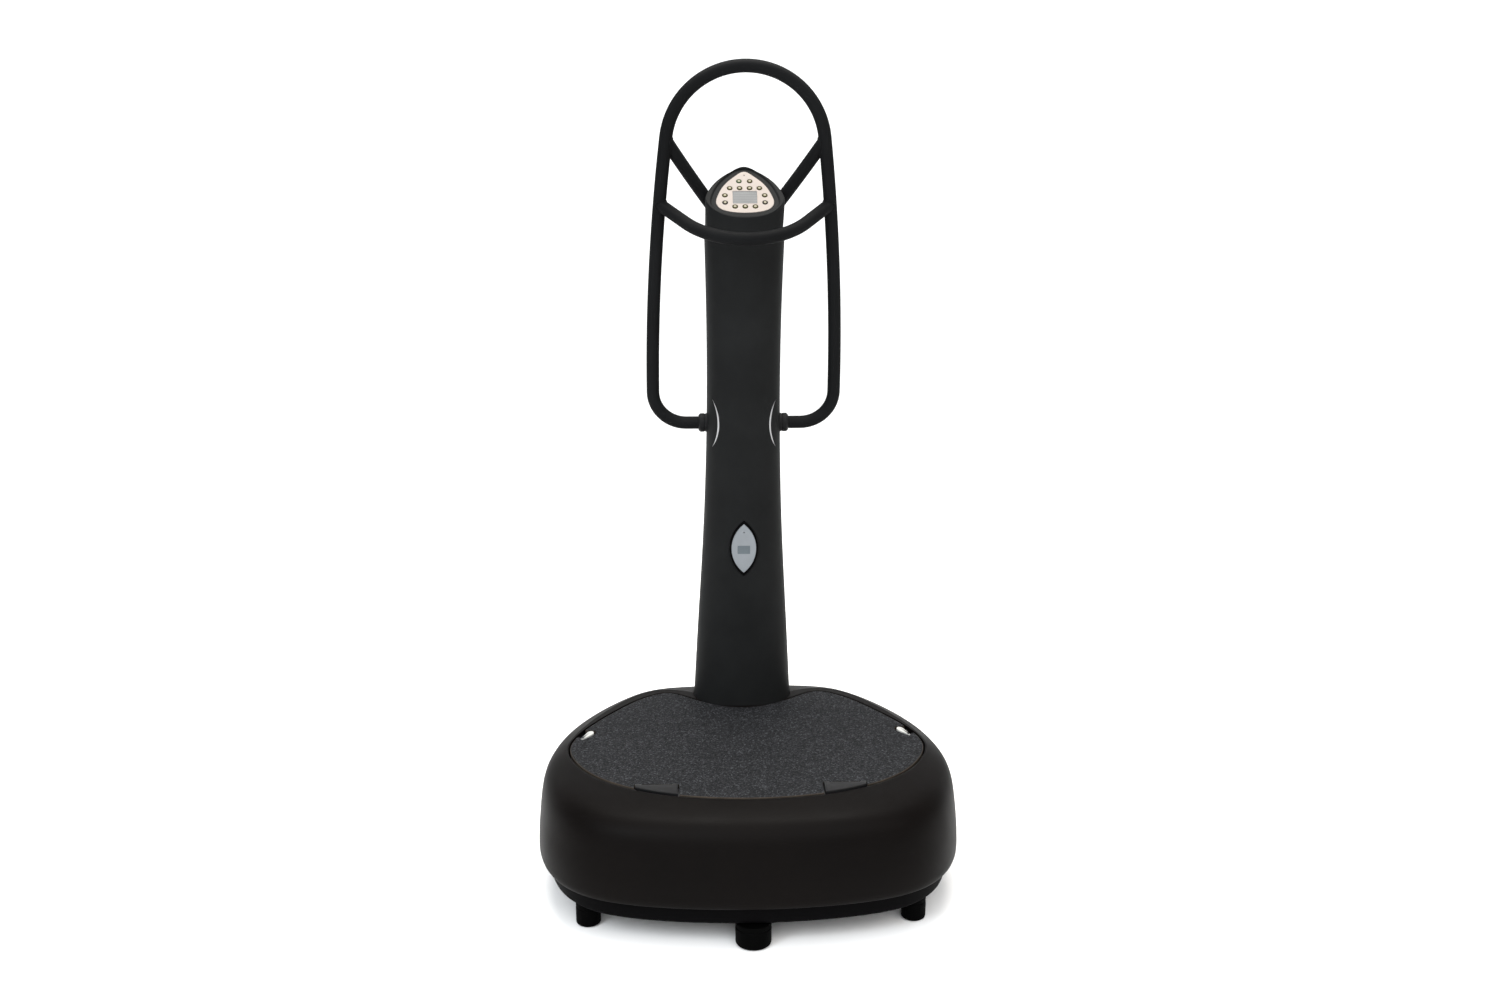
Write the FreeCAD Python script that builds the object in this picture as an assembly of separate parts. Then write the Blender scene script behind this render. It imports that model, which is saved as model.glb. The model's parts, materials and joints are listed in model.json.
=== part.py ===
import FreeCAD, Part
import math
import os

os.makedirs("parts", exist_ok=True)
V = FreeCAD.Vector

# Whole-body vibration trainer. Millimetres, +Z up, +Y to the rear (the user faces +Y),
# origin on the floor under the middle of the machine.

# ---- driving dimensions ----
TOTAL_HEIGHT = 1550.0
TUBE_R = 12.5          # 25 mm handle tube
TUBE_WALL = 2.0
BRACE_R = 12.2          # crossbar and struts, welded into the loop
COVER_WALL = 4.0       # moulded base cover
COLUMN_WALL = 3.0

# half plan outlines (x, y), from the front centre to the rear centre
BODY_HALF = [(0, -391), (120, -384), (225, -365), (305, -331), (362, -271), (392, -195),
             (402, -115), (396, -25), (375, 65), (335, 150), (275, 235), (210, 305),
             (150, 345), (85, 378), (0, 391)]
MAT_HALF = [(0, -288), (90, -280), (170, -260), (238, -226), (291, -180), (327, -122),
            (343, -58), (329, 8), (298, 70), (252, 140), (200, 200), (155, 221),
            (116, 198), (62, 158), (0, 138)]

# outline of the cover's crown, 7 mm outside the mat and wider beside the column
RIM_HALF = [(0, -295), (92, -287), (173, -267), (243, -231), (297, -184), (334, -124),
            (350, -58), (337, 10), (309, 78), (268, 152), (218, 216), (168, 243),
            (120, 234), (62, 202), (0, 186)]

# base cover: (z, blend from body outline to rim outline, extra inset)
COVER_SECTIONS = [(86, 0.0, 5.0), (92, 0.0, 1.2), (102, 0.0, 0.0), (142, 0.03, 0.0),
                  (170, 0.075, 0.0), (200, 0.14, 0.0), (221, 0.225, 0.0), (237, 0.38, 0.0),
                  (247, 0.61, 0.0), (257, 1.0, 0.0)]
LIP = 6.0              # down-turned edge of the cover round the platform
PLATFORM_GAP = 4.0     # moving platform to cover
REAR_SPLIT_Y = 235.0
SEAM = 0.6

# under tray
TRAY_BOTTOM = 48.0
TRAY_TOP = 92.0
TRAY_INSET = 21.0

# base frame, 40 mm square tube
FRAME_Z = 52.0
BEAM = 40.0
BEAM_WALL = 2.5
RAIL_X = 150.0
FRONT_BEAM_Y = -266.0
MID_BEAM_Y = 186.0
REAR_BEAM_Y = 294.0

# feet: name, x, y, pad radius
FEET = [("foot_front", 0.0, -350.0, 33.0), ("foot_left", -303.0, -266.0, 23.0),
        ("foot_right", 303.0, -266.0, 23.0), ("foot_rear_left", -176.0, 282.0, 23.0),
        ("foot_rear_right", 176.0, 282.0, 23.0)]
STUD_R = 6.0
RUNNING = 0.05

# transport wheels
WHEEL_X = 120.0
WHEEL_Y = 352.0
WHEEL_Z = 36.0
WHEEL_R = 28.0
WHEEL_W = 24.0
AXLE_R = 5.0

# platform stack
ISOLATORS = [(-200.0, -190.0), (200.0, -190.0), (-200.0, 70.0), (200.0, 70.0)]
ISOLATOR_R = 24.0
PEDESTAL_TOP = 164.0
ISOLATOR_TOP = 200.0
SUBFRAME_Z = 204.0
PLATE_Z = 244.0
MAT_Z = 250.0
MAT_TOP = 258.0
SIDE_CLIP = [(-21, -4.5), (-10, -6.2), (6, -6.6), (17, -5), (20.5, 0), (17, 5), (7, 6.4), (-7, 2.2)]
SIDE_CLIP_AT = V(312, 6, MAT_Z)
SIDE_CLIP_TURN = 111.0     # degrees from X, along the platform's side edge
SIDE_CLIP_TALL = 8.5
CLIP_TOP = 260.5

# vibration motors, shafts along X
MOTORS = [("front", -130.0), ("rear", 20.0)]
MOTOR_Z = 144.0
MOTOR_R = 46.0
MOTOR_HALF = 90.0
SHAFT_R = 10.0

# column: (z, half width, front y, widest y, rear y)
COLUMN = [(200, 103.5, 148, 228, 345), (262, 100, 150, 228, 340), (400, 92.5, 147, 220, 322),
          (600, 81, 134, 204, 297), (900, 72.3, 109, 178, 270), (1150, 74.8, 86, 154, 254),
          (1250, 77.5, 73, 138, 248), (1400, 80, 58, 126, 238)]
COLUMN_FOOT = 206.0
HEAD_SEAM = 1222.0
ROUNDNESS = 2.3        # superellipse power of the column sections

# steel post inside the column
POST_SIZE = 80.0
POST_WALL = 3.0
POST_FOOT = (246.0, 100.0)
POST_TOP = (163.0, 1262.0)

# handle loop
STUB_Z = 849.0
STUB_Y = 180.0
LOOP_LEAN = 8.6        # degrees forward
LOOP_HALF = 178.0      # half width of the centre line at the lower bends
BEND_R = 65.0
SIDE_TURN = 7.0        # degrees the sides close in by the top
STUB_END = 42.0
CROSSBAR_END_Z = 1284.0
CROSSBAR_MID = V(0, 10, 1231)
CROSSBAR_TURN = 52.0    # degrees the bar is bent each side of its middle
STRUT_TOP_Z = 1404.0
STRUT_END = V(38, 172, 1244)
STRUT_BOW = V(5, 3, 4)

# console, tilted panel; its frame starts at the lower edge of the panel
PANEL_TILT = 39.0
PANEL_ORIGIN = V(0, 85, 1271.5)
PANEL_HALF = [(0, 0), (32, 4), (47.5, 12), (54.2, 26), (50.8, 45), (43.3, 64), (31.0, 82.5),
              (15.5, 98.5), (0, 108.5)]
HOOD_HALF = [(0, -60), (60, -45), (82, -5), (78.5, 25), (72, 48), (61, 70), (46, 89),
             (25, 106), (0, 116)]
PANEL_THICK = 3.0
RIM_RISE = 2.5
BUTTON_R = 5.2
BUTTON_HOLE_R = 5.5
BUTTON_BOTTOM = -8.0
BOARD_TOP = -9.6
BUTTONS = [(-10.2, 83), (10.2, 83), (-28, 64.5), (-9.4, 64.5), (9.4, 64.5), (28, 64.5),
           (-37.5, 45.5), (37.5, 45.5), (-37.5, 26.5), (37.5, 26.5), (-19, 16), (0, 16),
           (19, 16)]
LCD_SIZE = (46.0, 33.0)
LCD_CENTRE = (0.0, 40.5)

# lens-shaped display half way up the column
EYE_Z = 601.0
EYE_Y = 134.0
EYE_LEAN = 4.2
EYE_LCD = (25.0, 17.5)

# mains module in the rear cover
MODULE_Z = 126.0
MODULE_Y = 376.0
MODULE_HALF_H = 26.0
ROCKER_Z = 139.0
ROCKER_Y = 371.5
ROCKER_R = 7.0
ROCKER_PIN_R = 1.5

# screws of the moulded covers, all one size
SCREW_HEAD_R = 4.6
SCREW_SHANK_R = 2.0
COLUMN_SCREW_Z = [320.0, 600.0, 880.0, 1160.0]


# ---- helpers ----
def save(name, shape):
    shape.exportStep(f"parts/{name}.step")


def save_pair(name, right):
    """Saves a piece of the right side and its mirror image on the left."""
    save(f"{name}_right", right)
    save(f"{name}_left", right.mirror(V(0, 0, 0), V(1, 0, 0)))


def mirrored(half):
    """The whole closed outline from its right half, axis points at both ends."""
    left = [(-x, y) for x, y in reversed(half[1:-1])]
    return list(half) + left


def inset(points, distance):
    """Moves each point of a closed counter-clockwise outline inwards."""
    moved = []
    count = len(points)
    for i, (x, y) in enumerate(points):
        before = points[i - 1]
        after = points[(i + 1) % count]
        dx = after[0] - before[0]
        dy = after[1] - before[1]
        length = math.hypot(dx, dy)
        moved.append((x - dy / length * distance, y + dx / length * distance))
    return moved


def blended(first, second, share):
    return [(a[0] + (b[0] - a[0]) * share, a[1] + (b[1] - a[1]) * share)
            for a, b in zip(first, second)]


def smooth_wire(points, z):
    curve = Part.BSplineCurve()
    curve.interpolate([V(x, y, z) for x, y in points], PeriodicFlag=True)
    return Part.Wire([curve.toShape()])


def prism(points, z0, z1):
    """A smooth closed outline pulled up from z0 to z1."""
    return Part.Face(smooth_wire(points, z0)).extrude(V(0, 0, z1 - z0))


def box(x0, x1, y0, y1, z0, z1):
    return Part.makeBox(x1 - x0, y1 - y0, z1 - z0, V(x0, y0, z0))


def cylinder(radius, start, end):
    axis = end - start
    return Part.makeCylinder(radius, axis.Length, start, axis)


def fuse(shapes):
    whole = shapes[0].multiFuse(shapes[1:]) if len(shapes) > 1 else shapes[0]
    return whole.removeSplitter()


def group(shapes):
    return Part.makeCompound(shapes)


def solid_of(shape):
    """The largest solid of a boolean result."""
    return max(shape.Solids, key=lambda s: s.Volume)


def pipe(path, radius):
    """A round bar along a wire that starts at its first vertex."""
    edge = path.OrderedEdges[0]
    start = path.OrderedVertexes[0].Point
    parameter = edge.getParameterByLength(0)
    if edge.valueAt(parameter).distanceToPoint(start) > 0.01:
        parameter = edge.LastParameter
    direction = edge.tangentAt(parameter)
    ring = Part.Wire([Part.Circle(start, direction, radius).toShape()])
    return path.makePipeShell([ring], True, False)


def tube(path, radius, wall):
    return pipe(path, radius).cut(pipe(path, radius - wall))


def hex_head(radius, height, x, y, z):
    corners = [V(x + radius * math.cos(math.radians(60 * k)),
                 y + radius * math.sin(math.radians(60 * k)), z) for k in range(6)]
    return Part.Face(Part.makePolygon(corners + corners[:1])).extrude(V(0, 0, height))


# ---- base: cover, tray, frame ----
BODY = mirrored(BODY_HALF)
MAT = mirrored(MAT_HALF)
RIM = mirrored(RIM_HALF)


def cover_block(wall):
    """The base cover's outer shape, or with a wall the space inside it."""
    wires = []
    for z, share, extra in COVER_SECTIONS:
        slope = math.radians(90 * share)
        outline = inset(blended(BODY, RIM, share), extra + wall * math.cos(slope))
        wires.append(smooth_wire(outline, z - wall * math.sin(slope)))
    return Part.makeLoft(wires, True, False)


def column_section(z, half, front, widest, rear, wall):
    points = []
    for k in range(24):
        angle = math.radians(15 * k)
        c = math.cos(angle)
        s = math.sin(angle)
        depth = (rear - widest if s > 0 else widest - front) - wall
        x = (half - wall) * math.copysign(abs(c) ** (2 / ROUNDNESS), c)
        y = widest + depth * math.copysign(abs(s) ** (2 / ROUNDNESS), s)
        points.append((x, y))
    return smooth_wire(points, z)


def column_block(wall, z0, z1):
    """The column's outer shape between two heights, or with a wall its inside."""
    wires = [column_section(*station, wall) for station in COLUMN]
    whole = Part.makeLoft(wires, True, False)
    return whole.common(box(-200, 200, 0, 500, z0, z1))


def make_base_covers():
    shell = cover_block(0).cut(cover_block(COVER_WALL))
    shell = shell.cut(box(-500, 500, -500, 500, 0, 86.01))
    lip = prism(inset(MAT, -PLATFORM_GAP - LIP), 236, 256.5)
    shell = solid_of(shell).fuse(lip.common(cover_block(0)))
    opening = prism(inset(MAT, -PLATFORM_GAP), 200, 300)
    shell = solid_of(shell.cut(opening).cut(column_block(-1.0, 150, 300)))
    front = shell.common(box(-500, 500, -500, REAR_SPLIT_Y - SEAM / 2, 0, 300))
    rear = shell.common(box(-500, 500, REAR_SPLIT_Y + SEAM / 2, 500, 0, 300))
    low = MODULE_Z - MODULE_HALF_H
    high = MODULE_Z + MODULE_HALF_H
    recess = box(-32, 32, MODULE_Y, 400, low - 1, high + 1)
    frame = box(-35, 35, MODULE_Y - 4, 400, low - 4, high + 4).cut(recess)
    rear = rear.cut(recess).fuse(frame.common(cover_block(0)))
    rear = rear.cut(box(-25, 25, 340, 400, low + 3, high - 3))
    save("base_cover", solid_of(front))
    save("rear_cover", solid_of(rear))


def make_under_tray():
    outer = prism(inset(BODY, TRAY_INSET), TRAY_BOTTOM, TRAY_TOP)
    inner = prism(inset(BODY, TRAY_INSET + 3), TRAY_BOTTOM + 3, TRAY_TOP + 1)
    tray = outer.cut(inner)
    for _, x, y, _ in FEET:
        tray = tray.cut(cylinder(12, V(x, y, 40), V(x, y, 56)))
    for side in (-1, 1):
        x = side * WHEEL_X
        tray = tray.cut(box(x - 24, x + 24, REAR_BEAM_Y + BEAM / 2 - 2, 400, 40, 100))
    save("under_tray", solid_of(tray))


def beam(x0, x1, y0, y1, along):
    """A level square tube: its outer block and the hollow in it."""
    top = FRAME_Z + BEAM
    outer = box(x0, x1, y0, y1, FRAME_Z, top)
    wx = 0 if along == "x" else BEAM_WALL
    wy = 0 if along == "y" else BEAM_WALL
    hollow = box(x0 + wx, x1 - wx, y0 + wy, y1 - wy, FRAME_Z + BEAM_WALL, top - BEAM_WALL)
    return outer, hollow


def make_base_frame():
    half = BEAM / 2
    front = FRONT_BEAM_Y
    beams = [beam(-328, 328, front - half, front + half, "x"),
             beam(-half, half, -370, front - half, "y"),
             beam(-RAIL_X + half, RAIL_X - half, MID_BEAM_Y - half, MID_BEAM_Y + half, "x"),
             beam(-216, 216, REAR_BEAM_Y - half, REAR_BEAM_Y + half, "x")]
    for side in (-1, 1):
        x = side * RAIL_X
        beams.append(beam(x - half, x + half, front + half, REAR_BEAM_Y - half, "y"))
        near = side * (RAIL_X + half)
        far = side * 226
        for y in (-190.0, 70.0):
            beams.append(beam(min(near, far), max(near, far), y - half, y + half, "x"))
    frame = fuse([outer for outer, _ in beams])
    for _, hollow in beams:
        frame = frame.cut(hollow)
    top = FRAME_Z + BEAM
    frame = frame.common(prism(inset(BODY, TRAY_INSET + 4), FRAME_Z - 1, top + 1))
    posts = []
    for x, y in ISOLATORS:
        leg = box(x - 22, x + 22, y - 20, y + 20, top - 1, PEDESTAL_TOP - 4)
        leg = leg.cut(box(x - 19, x + 19, y - 17, y + 17, top - 2, PEDESTAL_TOP - 5))
        posts += [leg, box(x - 28, x + 28, y - 28, y + 28, PEDESTAL_TOP - 4, PEDESTAL_TOP)]
    sleeves = [cylinder(12, V(x, y, FRAME_Z), V(x, y, top)) for _, x, y, _ in FEET]
    ears = []
    for side in (-1, 1):
        for shift in (-18, 18):
            x = side * WHEEL_X + shift
            plate = box(x - 2, x + 2, REAR_BEAM_Y + half, WHEEL_Y, 26, 80)
            ears += [plate, cylinder(12, V(x - 2, WHEEL_Y, WHEEL_Z), V(x + 2, WHEEL_Y, WHEEL_Z))]
    frame = frame.multiFuse(posts + sleeves + ears)
    for _, x, y, _ in FEET:
        bore = STUD_R + RUNNING
        frame = frame.cut(cylinder(bore, V(x, y, FRAME_Z - 1), V(x, y, top + 1)))
    for x, y in post_bolts():
        frame = frame.cut(cylinder(6.2, V(x, y, top - 10), V(x, y, top + 1)))
    for side in (-1, 1):
        x = side * WHEEL_X
        bore = cylinder(AXLE_R + 0.02, V(x - 30, WHEEL_Y, WHEEL_Z), V(x + 30, WHEEL_Y, WHEEL_Z))
        frame = frame.cut(bore)
    save("base_frame", solid_of(frame.removeSplitter()))


def post_bolts():
    return [(x, y) for x in (-78, 78) for y in (MID_BEAM_Y, REAR_BEAM_Y)]


# ---- feet and wheels ----
def make_feet():
    nuts = []
    top = FRAME_Z + BEAM
    for name, x, y, radius in FEET:
        pad = cylinder(radius, V(x, y, 0), V(x, y, TRAY_BOTTOM - 2))
        low = [e for e in pad.Edges if e.BoundBox.ZMax < 0.1]
        high = [e for e in pad.Edges if e.BoundBox.ZMin > 10 and e.BoundBox.ZLength < 0.1]
        pad = pad.makeFillet(6, low).makeFillet(2, high)
        stud = cylinder(STUD_R, V(x, y, TRAY_BOTTOM - 2), V(x, y, top + 16))
        save(name, fuse([pad, stud]))
        nut = hex_head(11, 10, x, y, top)
        nuts.append(nut.cut(cylinder(STUD_R + RUNNING, V(x, y, top - 1), V(x, y, top + 11))))
    save("foot_nuts", group(nuts))


def make_wheels():
    axles = []
    for name, side in (("wheel_left", -1), ("wheel_right", 1)):
        x = side * WHEEL_X
        half = WHEEL_W / 2
        wheel = cylinder(WHEEL_R, V(x - half, WHEEL_Y, WHEEL_Z), V(x + half, WHEEL_Y, WHEEL_Z))
        wheel = wheel.makeFillet(3, [e for e in wheel.Edges if e.BoundBox.XLength < 0.1])
        for face in (-1, 1):
            start = V(x + face * half, WHEEL_Y, WHEEL_Z)
            hollow = cylinder(20, start, V(x + face * 5, WHEEL_Y, WHEEL_Z))
            wheel = wheel.cut(hollow)
        hub = cylinder(10, V(x - half - 2, WHEEL_Y, WHEEL_Z), V(x + half + 2, WHEEL_Y, WHEEL_Z))
        bore = cylinder(AXLE_R + RUNNING, V(x - 20, WHEEL_Y, WHEEL_Z), V(x + 20, WHEEL_Y, WHEEL_Z))
        save(name, wheel.fuse(hub).cut(bore))
        pin = cylinder(AXLE_R, V(x - 23, WHEEL_Y, WHEEL_Z), V(x + 23, WHEEL_Y, WHEEL_Z))
        inner = cylinder(8, V(x - 23, WHEEL_Y, WHEEL_Z), V(x - 20, WHEEL_Y, WHEEL_Z))
        outer = cylinder(8, V(x + 20, WHEEL_Y, WHEEL_Z), V(x + 23, WHEEL_Y, WHEEL_Z))
        axles.append(fuse([pin, inner, outer]))
    save("wheel_axles", group(axles))


# ---- vibrating platform ----
def clip_zone(side, margin):
    """The front-edge space of one mat clip."""
    left, right = sorted((side * 133, side * 215))
    return box(left - margin, right + margin, -300, -226 + margin, 240, 300)


def side_clip_shape(grow, z0, z1):
    """The right side clip's plan, grown by a margin: straight outside, tapered forward."""
    shape = prism(inset(SIDE_CLIP, -grow), z0, z1)
    shape.Placement = FreeCAD.Placement(SIDE_CLIP_AT, FreeCAD.Rotation(V(0, 0, 1), SIDE_CLIP_TURN))
    return shape


def side_clip_box(u0, u1, v0, v1, z0, z1):
    """A block in the right side clip's own directions: along the edge, then inwards."""
    shape = box(u0, u1, v0, v1, z0, z1)
    shape.Placement = FreeCAD.Placement(SIDE_CLIP_AT, FreeCAD.Rotation(V(0, 0, 1), SIDE_CLIP_TURN))
    return shape


def mirror_x(shape):
    return shape.mirror(V(0, 0, 0), V(1, 0, 0))


def make_mat_and_clips():
    mat = prism(MAT, MAT_Z, MAT_TOP)
    clips = []
    for side in (-1, 1):
        mat = mat.cut(clip_zone(side, 0.4))
        clips.append(prism(inset(MAT, 0.5), MAT_Z, CLIP_TOP).common(clip_zone(side, 0)))
    notch = fuse([side_clip_shape(4.5, -1, 20), side_clip_box(-17, 22, -45, -2, -1, 20)])
    mat = mat.cut(notch).cut(mirror_x(notch))
    clip = side_clip_shape(0, 0, SIDE_CLIP_TALL)
    save("mat", solid_of(mat))
    save("mat_clips", group(clips))
    save("side_clips", group([clip, mirror_x(clip)]))


def make_platform():
    save("platform_plate", prism(inset(MAT, 1.0), PLATE_Z, MAT_Z))
    wall = 2.5
    outers = []
    hollows = []
    for x in (-200, 200):
        outers.append(box(x - 15, x + 15, -220, 100, SUBFRAME_Z, PLATE_Z))
        hollows.append(box(x - 12.5, x + 12.5, -220, 100, SUBFRAME_Z + wall, PLATE_Z - wall))
    for y in (-200, -55, 84):
        outers.append(box(-185, 185, y - 15, y + 15, SUBFRAME_Z, PLATE_Z))
        hollows.append(box(-185, 185, y - 12.5, y + 12.5, SUBFRAME_Z + wall, PLATE_Z - wall))
    outers.append(box(-110, 110, -215, 99, SUBFRAME_Z - 8, SUBFRAME_Z))
    pads = [box(x - 27, x + 27, y - 27, y + 27, ISOLATOR_TOP, SUBFRAME_Z) for x, y in ISOLATORS]
    frame = fuse(outers + pads)
    for hollow in hollows:
        frame = frame.cut(hollow)
    save("platform_frame", solid_of(frame))
    mounts = []
    for x, y in ISOLATORS:
        mount = cylinder(ISOLATOR_R, V(x, y, PEDESTAL_TOP), V(x, y, ISOLATOR_TOP))
        mounts.append(mount)
    save("isolators", group(mounts))


def make_motor(name, y):
    z = MOTOR_Z
    shell = cylinder(MOTOR_R - 3, V(-MOTOR_HALF, y, z), V(MOTOR_HALF, y, z))
    ribs = [cylinder(MOTOR_R, V(x, y, z), V(x + 4, y, z)) for x in range(-58, 60, 14)]
    flanges = [cylinder(MOTOR_R, V(-MOTOR_HALF, y, z), V(-MOTOR_HALF + 12, y, z)),
               cylinder(MOTOR_R, V(MOTOR_HALF - 12, y, z), V(MOTOR_HALF, y, z))]
    foot = box(-64, 64, y - 36, y + 36, z + 26, SUBFRAME_Z - 8)
    body = fuse([shell, foot] + ribs + flanges)
    body = body.cut(cylinder(30, V(-MOTOR_HALF + 12, y, z), V(MOTOR_HALF - 12, y, z)))
    bore = cylinder(SHAFT_R + RUNNING, V(-MOTOR_HALF - 1, y, z), V(MOTOR_HALF + 1, y, z))
    body = body.cut(bore)
    caps = []
    for side in (-1, 1):
        outer = cylinder(MOTOR_R, V(side * MOTOR_HALF, y, z), V(side * (MOTOR_HALF + 48), y, z))
        hollow = cylinder(MOTOR_R - 4, V(side * MOTOR_HALF, y, z), V(side * (MOTOR_HALF + 44), y, z))
        caps.append(outer.cut(hollow))
    save(f"motor_{name}", group([body] + caps))


def make_rotor(name, y):
    """Shaft with its core and the two eccentric weights, hanging down at rest."""
    z = MOTOR_Z
    shaft = cylinder(SHAFT_R, V(-128, y, z), V(128, y, z))
    core = cylinder(26, V(-60, y, z), V(60, y, z))
    core = core.cut(cylinder(SHAFT_R + 0.02, V(-61, y, z), V(61, y, z)))
    weights = []
    for side in (-1, 1):
        x0, x1 = sorted((side * 98, side * 122))
        disc = cylinder(37, V(x0, y, z), V(x1, y, z))
        disc = disc.cut(box(x0 - 1, x1 + 1, y - 50, y + 50, z + 2, z + 60))
        hub = cylinder(17, V(x0, y, z), V(x1, y, z))
        bore = cylinder(SHAFT_R + 0.02, V(x0 - 1, y, z), V(x1 + 1, y, z))
        weights.append(disc.fuse(hub).cut(bore).removeSplitter())
    save(f"rotor_{name}", group([shaft, core] + weights))


# ---- column ----
def seam_prism(front):
    """Everything in front of, or behind, the seam along the column's widest line."""
    line = [(widest, z) for z, _, _, widest, _ in COLUMN]
    gap = -SEAM / 2 if front else SEAM / 2
    far = -100 if front else 600
    corners = [V(-200, y + gap, z) for y, z in line]
    corners += [V(-200, far, line[-1][1]), V(-200, far, line[0][1])]
    return Part.Face(Part.makePolygon(corners + corners[:1])).extrude(V(400, 0, 0))


def column_rear_at(z):
    for low, high in zip(COLUMN, COLUMN[1:]):
        if low[0] <= z <= high[0]:
            share = (z - low[0]) / (high[0] - low[0])
            return low[4] + (high[4] - low[4]) * share
    raise ValueError(z)


def handle_axis_hole(radius):
    return cylinder(radius, V(-120, STUB_Y, STUB_Z), V(120, STUB_Y, STUB_Z))


def make_column_covers():
    shell = column_block(0, COLUMN_FOOT, HEAD_SEAM)
    shell = shell.cut(column_block(COLUMN_WALL, COLUMN_FOOT - 2, HEAD_SEAM + 2))
    shell = shell.cut(handle_axis_hole(TUBE_R + 0.5))
    eye = eye_prism(29.0, 59.5, -20, 20)
    eye.Placement = eye_place()
    front = shell.common(seam_prism(True)).cut(eye)
    rear = shell.common(seam_prism(False))
    for z in COLUMN_SCREW_Z:
        y = column_rear_at(z)
        boss = cylinder(7.5, V(0, y - 9, z), V(0, y + 4, z))
        rear = rear.fuse(boss.common(column_block(0, COLUMN_FOOT, HEAD_SEAM)))
        rear = rear.cut(cylinder(SCREW_HEAD_R + 0.4, V(0, y - 4, z), V(0, y + 6, z)))
        rear = rear.cut(cylinder(SCREW_SHANK_R + 0.2, V(0, y - 12, z), V(0, y + 6, z)))
    save("column_front_cover", solid_of(front))
    save("column_rear_cover", solid_of(rear))


def screw(x, y, z):
    """A pan-head screw driven along -Y, its head's underside at y."""
    head = cylinder(SCREW_HEAD_R, V(x, y, z), V(x, y + 2.8, z))
    slot = box(x - 3, x + 3, y + 1.6, y + 4, z - 0.6, z + 0.6)
    cross = box(x - 0.6, x + 0.6, y + 1.6, y + 4, z - 3, z + 3)
    shank = cylinder(SCREW_SHANK_R, V(x, y - 14, z), V(x, y, z))
    return fuse([head, shank]).cut(slot).cut(cross)


def make_cover_screws():
    save("cover_screws", group([screw(0, column_rear_at(z) - 4, z) for z in COLUMN_SCREW_Z]))


def post_block(size):
    half = size / 2
    wires = []
    for y, z in (POST_FOOT, POST_TOP):
        corners = [V(-half, y - half, z), V(half, y - half, z), V(half, y + half, z),
                   V(-half, y + half, z)]
        wires.append(Part.makePolygon(corners + corners[:1]))
    return Part.makeLoft(wires, True, True)


def make_column_post():
    top = FRAME_Z + BEAM
    post = post_block(POST_SIZE).cut(post_block(POST_SIZE - 2 * POST_WALL))
    flange = box(-98, 98, MID_BEAM_Y - 20, REAR_BEAM_Y + 20, top, POST_FOOT[1])
    bolts = []
    for x, y in post_bolts():
        flange = flange.cut(cylinder(6.2, V(x, y, top - 1), V(x, y, top + 12)))
        shank = cylinder(6, V(x, y, top - 8), V(x, y, POST_FOOT[1]))
        bolts.append(fuse([shank, hex_head(10, 8, x, y, POST_FOOT[1])]))
    post = fuse([post, flange]).cut(handle_axis_hole(spigot_radius() + RUNNING))
    save("column_post", solid_of(post))
    save("column_bolts", group(bolts))


# ---- handle ----
def spigot_radius():
    return TUBE_R - TUBE_WALL - RUNNING


def loop_place():
    """The loop's own plane: x across, y up along it, leaning forward."""
    return FreeCAD.Placement(V(0, STUB_Y, STUB_Z), FreeCAD.Rotation(V(1, 0, 0), 90 + LOOP_LEAN))


def loop_shape():
    """Side radius, arch radius and arch centre height of the loop in its own plane."""
    turn = math.radians(SIDE_TURN)
    rise = (TOTAL_HEIGHT - TUBE_R - STUB_Z) / math.cos(math.radians(LOOP_LEAN))
    s = math.sin(turn)
    c = math.cos(turn)
    # arch = (LOOP_HALF - side * (1 - c)) / c; rise = BEND_R + side * s + arch * (1 - s)
    side = (rise - BEND_R - LOOP_HALF / c * (1 - s)) / (s - (1 - c) / c * (1 - s))
    arch = (LOOP_HALF - side * (1 - c)) / c
    return side, arch, rise - arch


def loop_side(sign):
    """One side of the loop from its stub upwards: the three edges and their upper end."""
    side, arch, centre = loop_shape()
    turn = math.radians(SIDE_TURN)
    half = math.radians(SIDE_TURN / 2)
    diagonal = BEND_R * (1 - math.sqrt(0.5))
    stub = V(sign * STUB_END, 0, 0)
    bend_start = V(sign * (LOOP_HALF - BEND_R), 0, 0)
    bend_mid = V(sign * (LOOP_HALF - diagonal), diagonal, 0)
    bend_end = V(sign * LOOP_HALF, BEND_R, 0)
    side_mid = V(sign * (LOOP_HALF - side * (1 - math.cos(half))),
                 BEND_R + side * math.sin(half), 0)
    side_end = V(sign * arch * math.cos(turn), centre + arch * math.sin(turn), 0)
    edges = [Part.makeLine(stub, bend_start),
             Part.Arc(bend_start, bend_mid, bend_end).toShape(),
             Part.Arc(bend_end, side_mid, side_end).toShape()]
    return edges, side_end


def loop_path():
    left, crown_start = loop_side(-1)
    right, crown_end = loop_side(1)
    _, arch, centre = loop_shape()
    crown = Part.Arc(crown_start, V(0, centre + arch, 0), crown_end).toShape()
    wire = Part.Wire(left + [crown] + right[::-1])
    wire.Placement = loop_place()
    return wire


def strut_path(sign):
    """The bowed centre line of one strut, from the loop down to the column's top."""
    top = loop_point(STRUT_TOP_Z)
    middle = (top + STRUT_END) * 0.5 + STRUT_BOW
    ends = [V(sign * p.x, p.y, p.z) for p in (top, middle, STRUT_END)]
    return Part.Wire([Part.Arc(*ends).toShape()])


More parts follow.
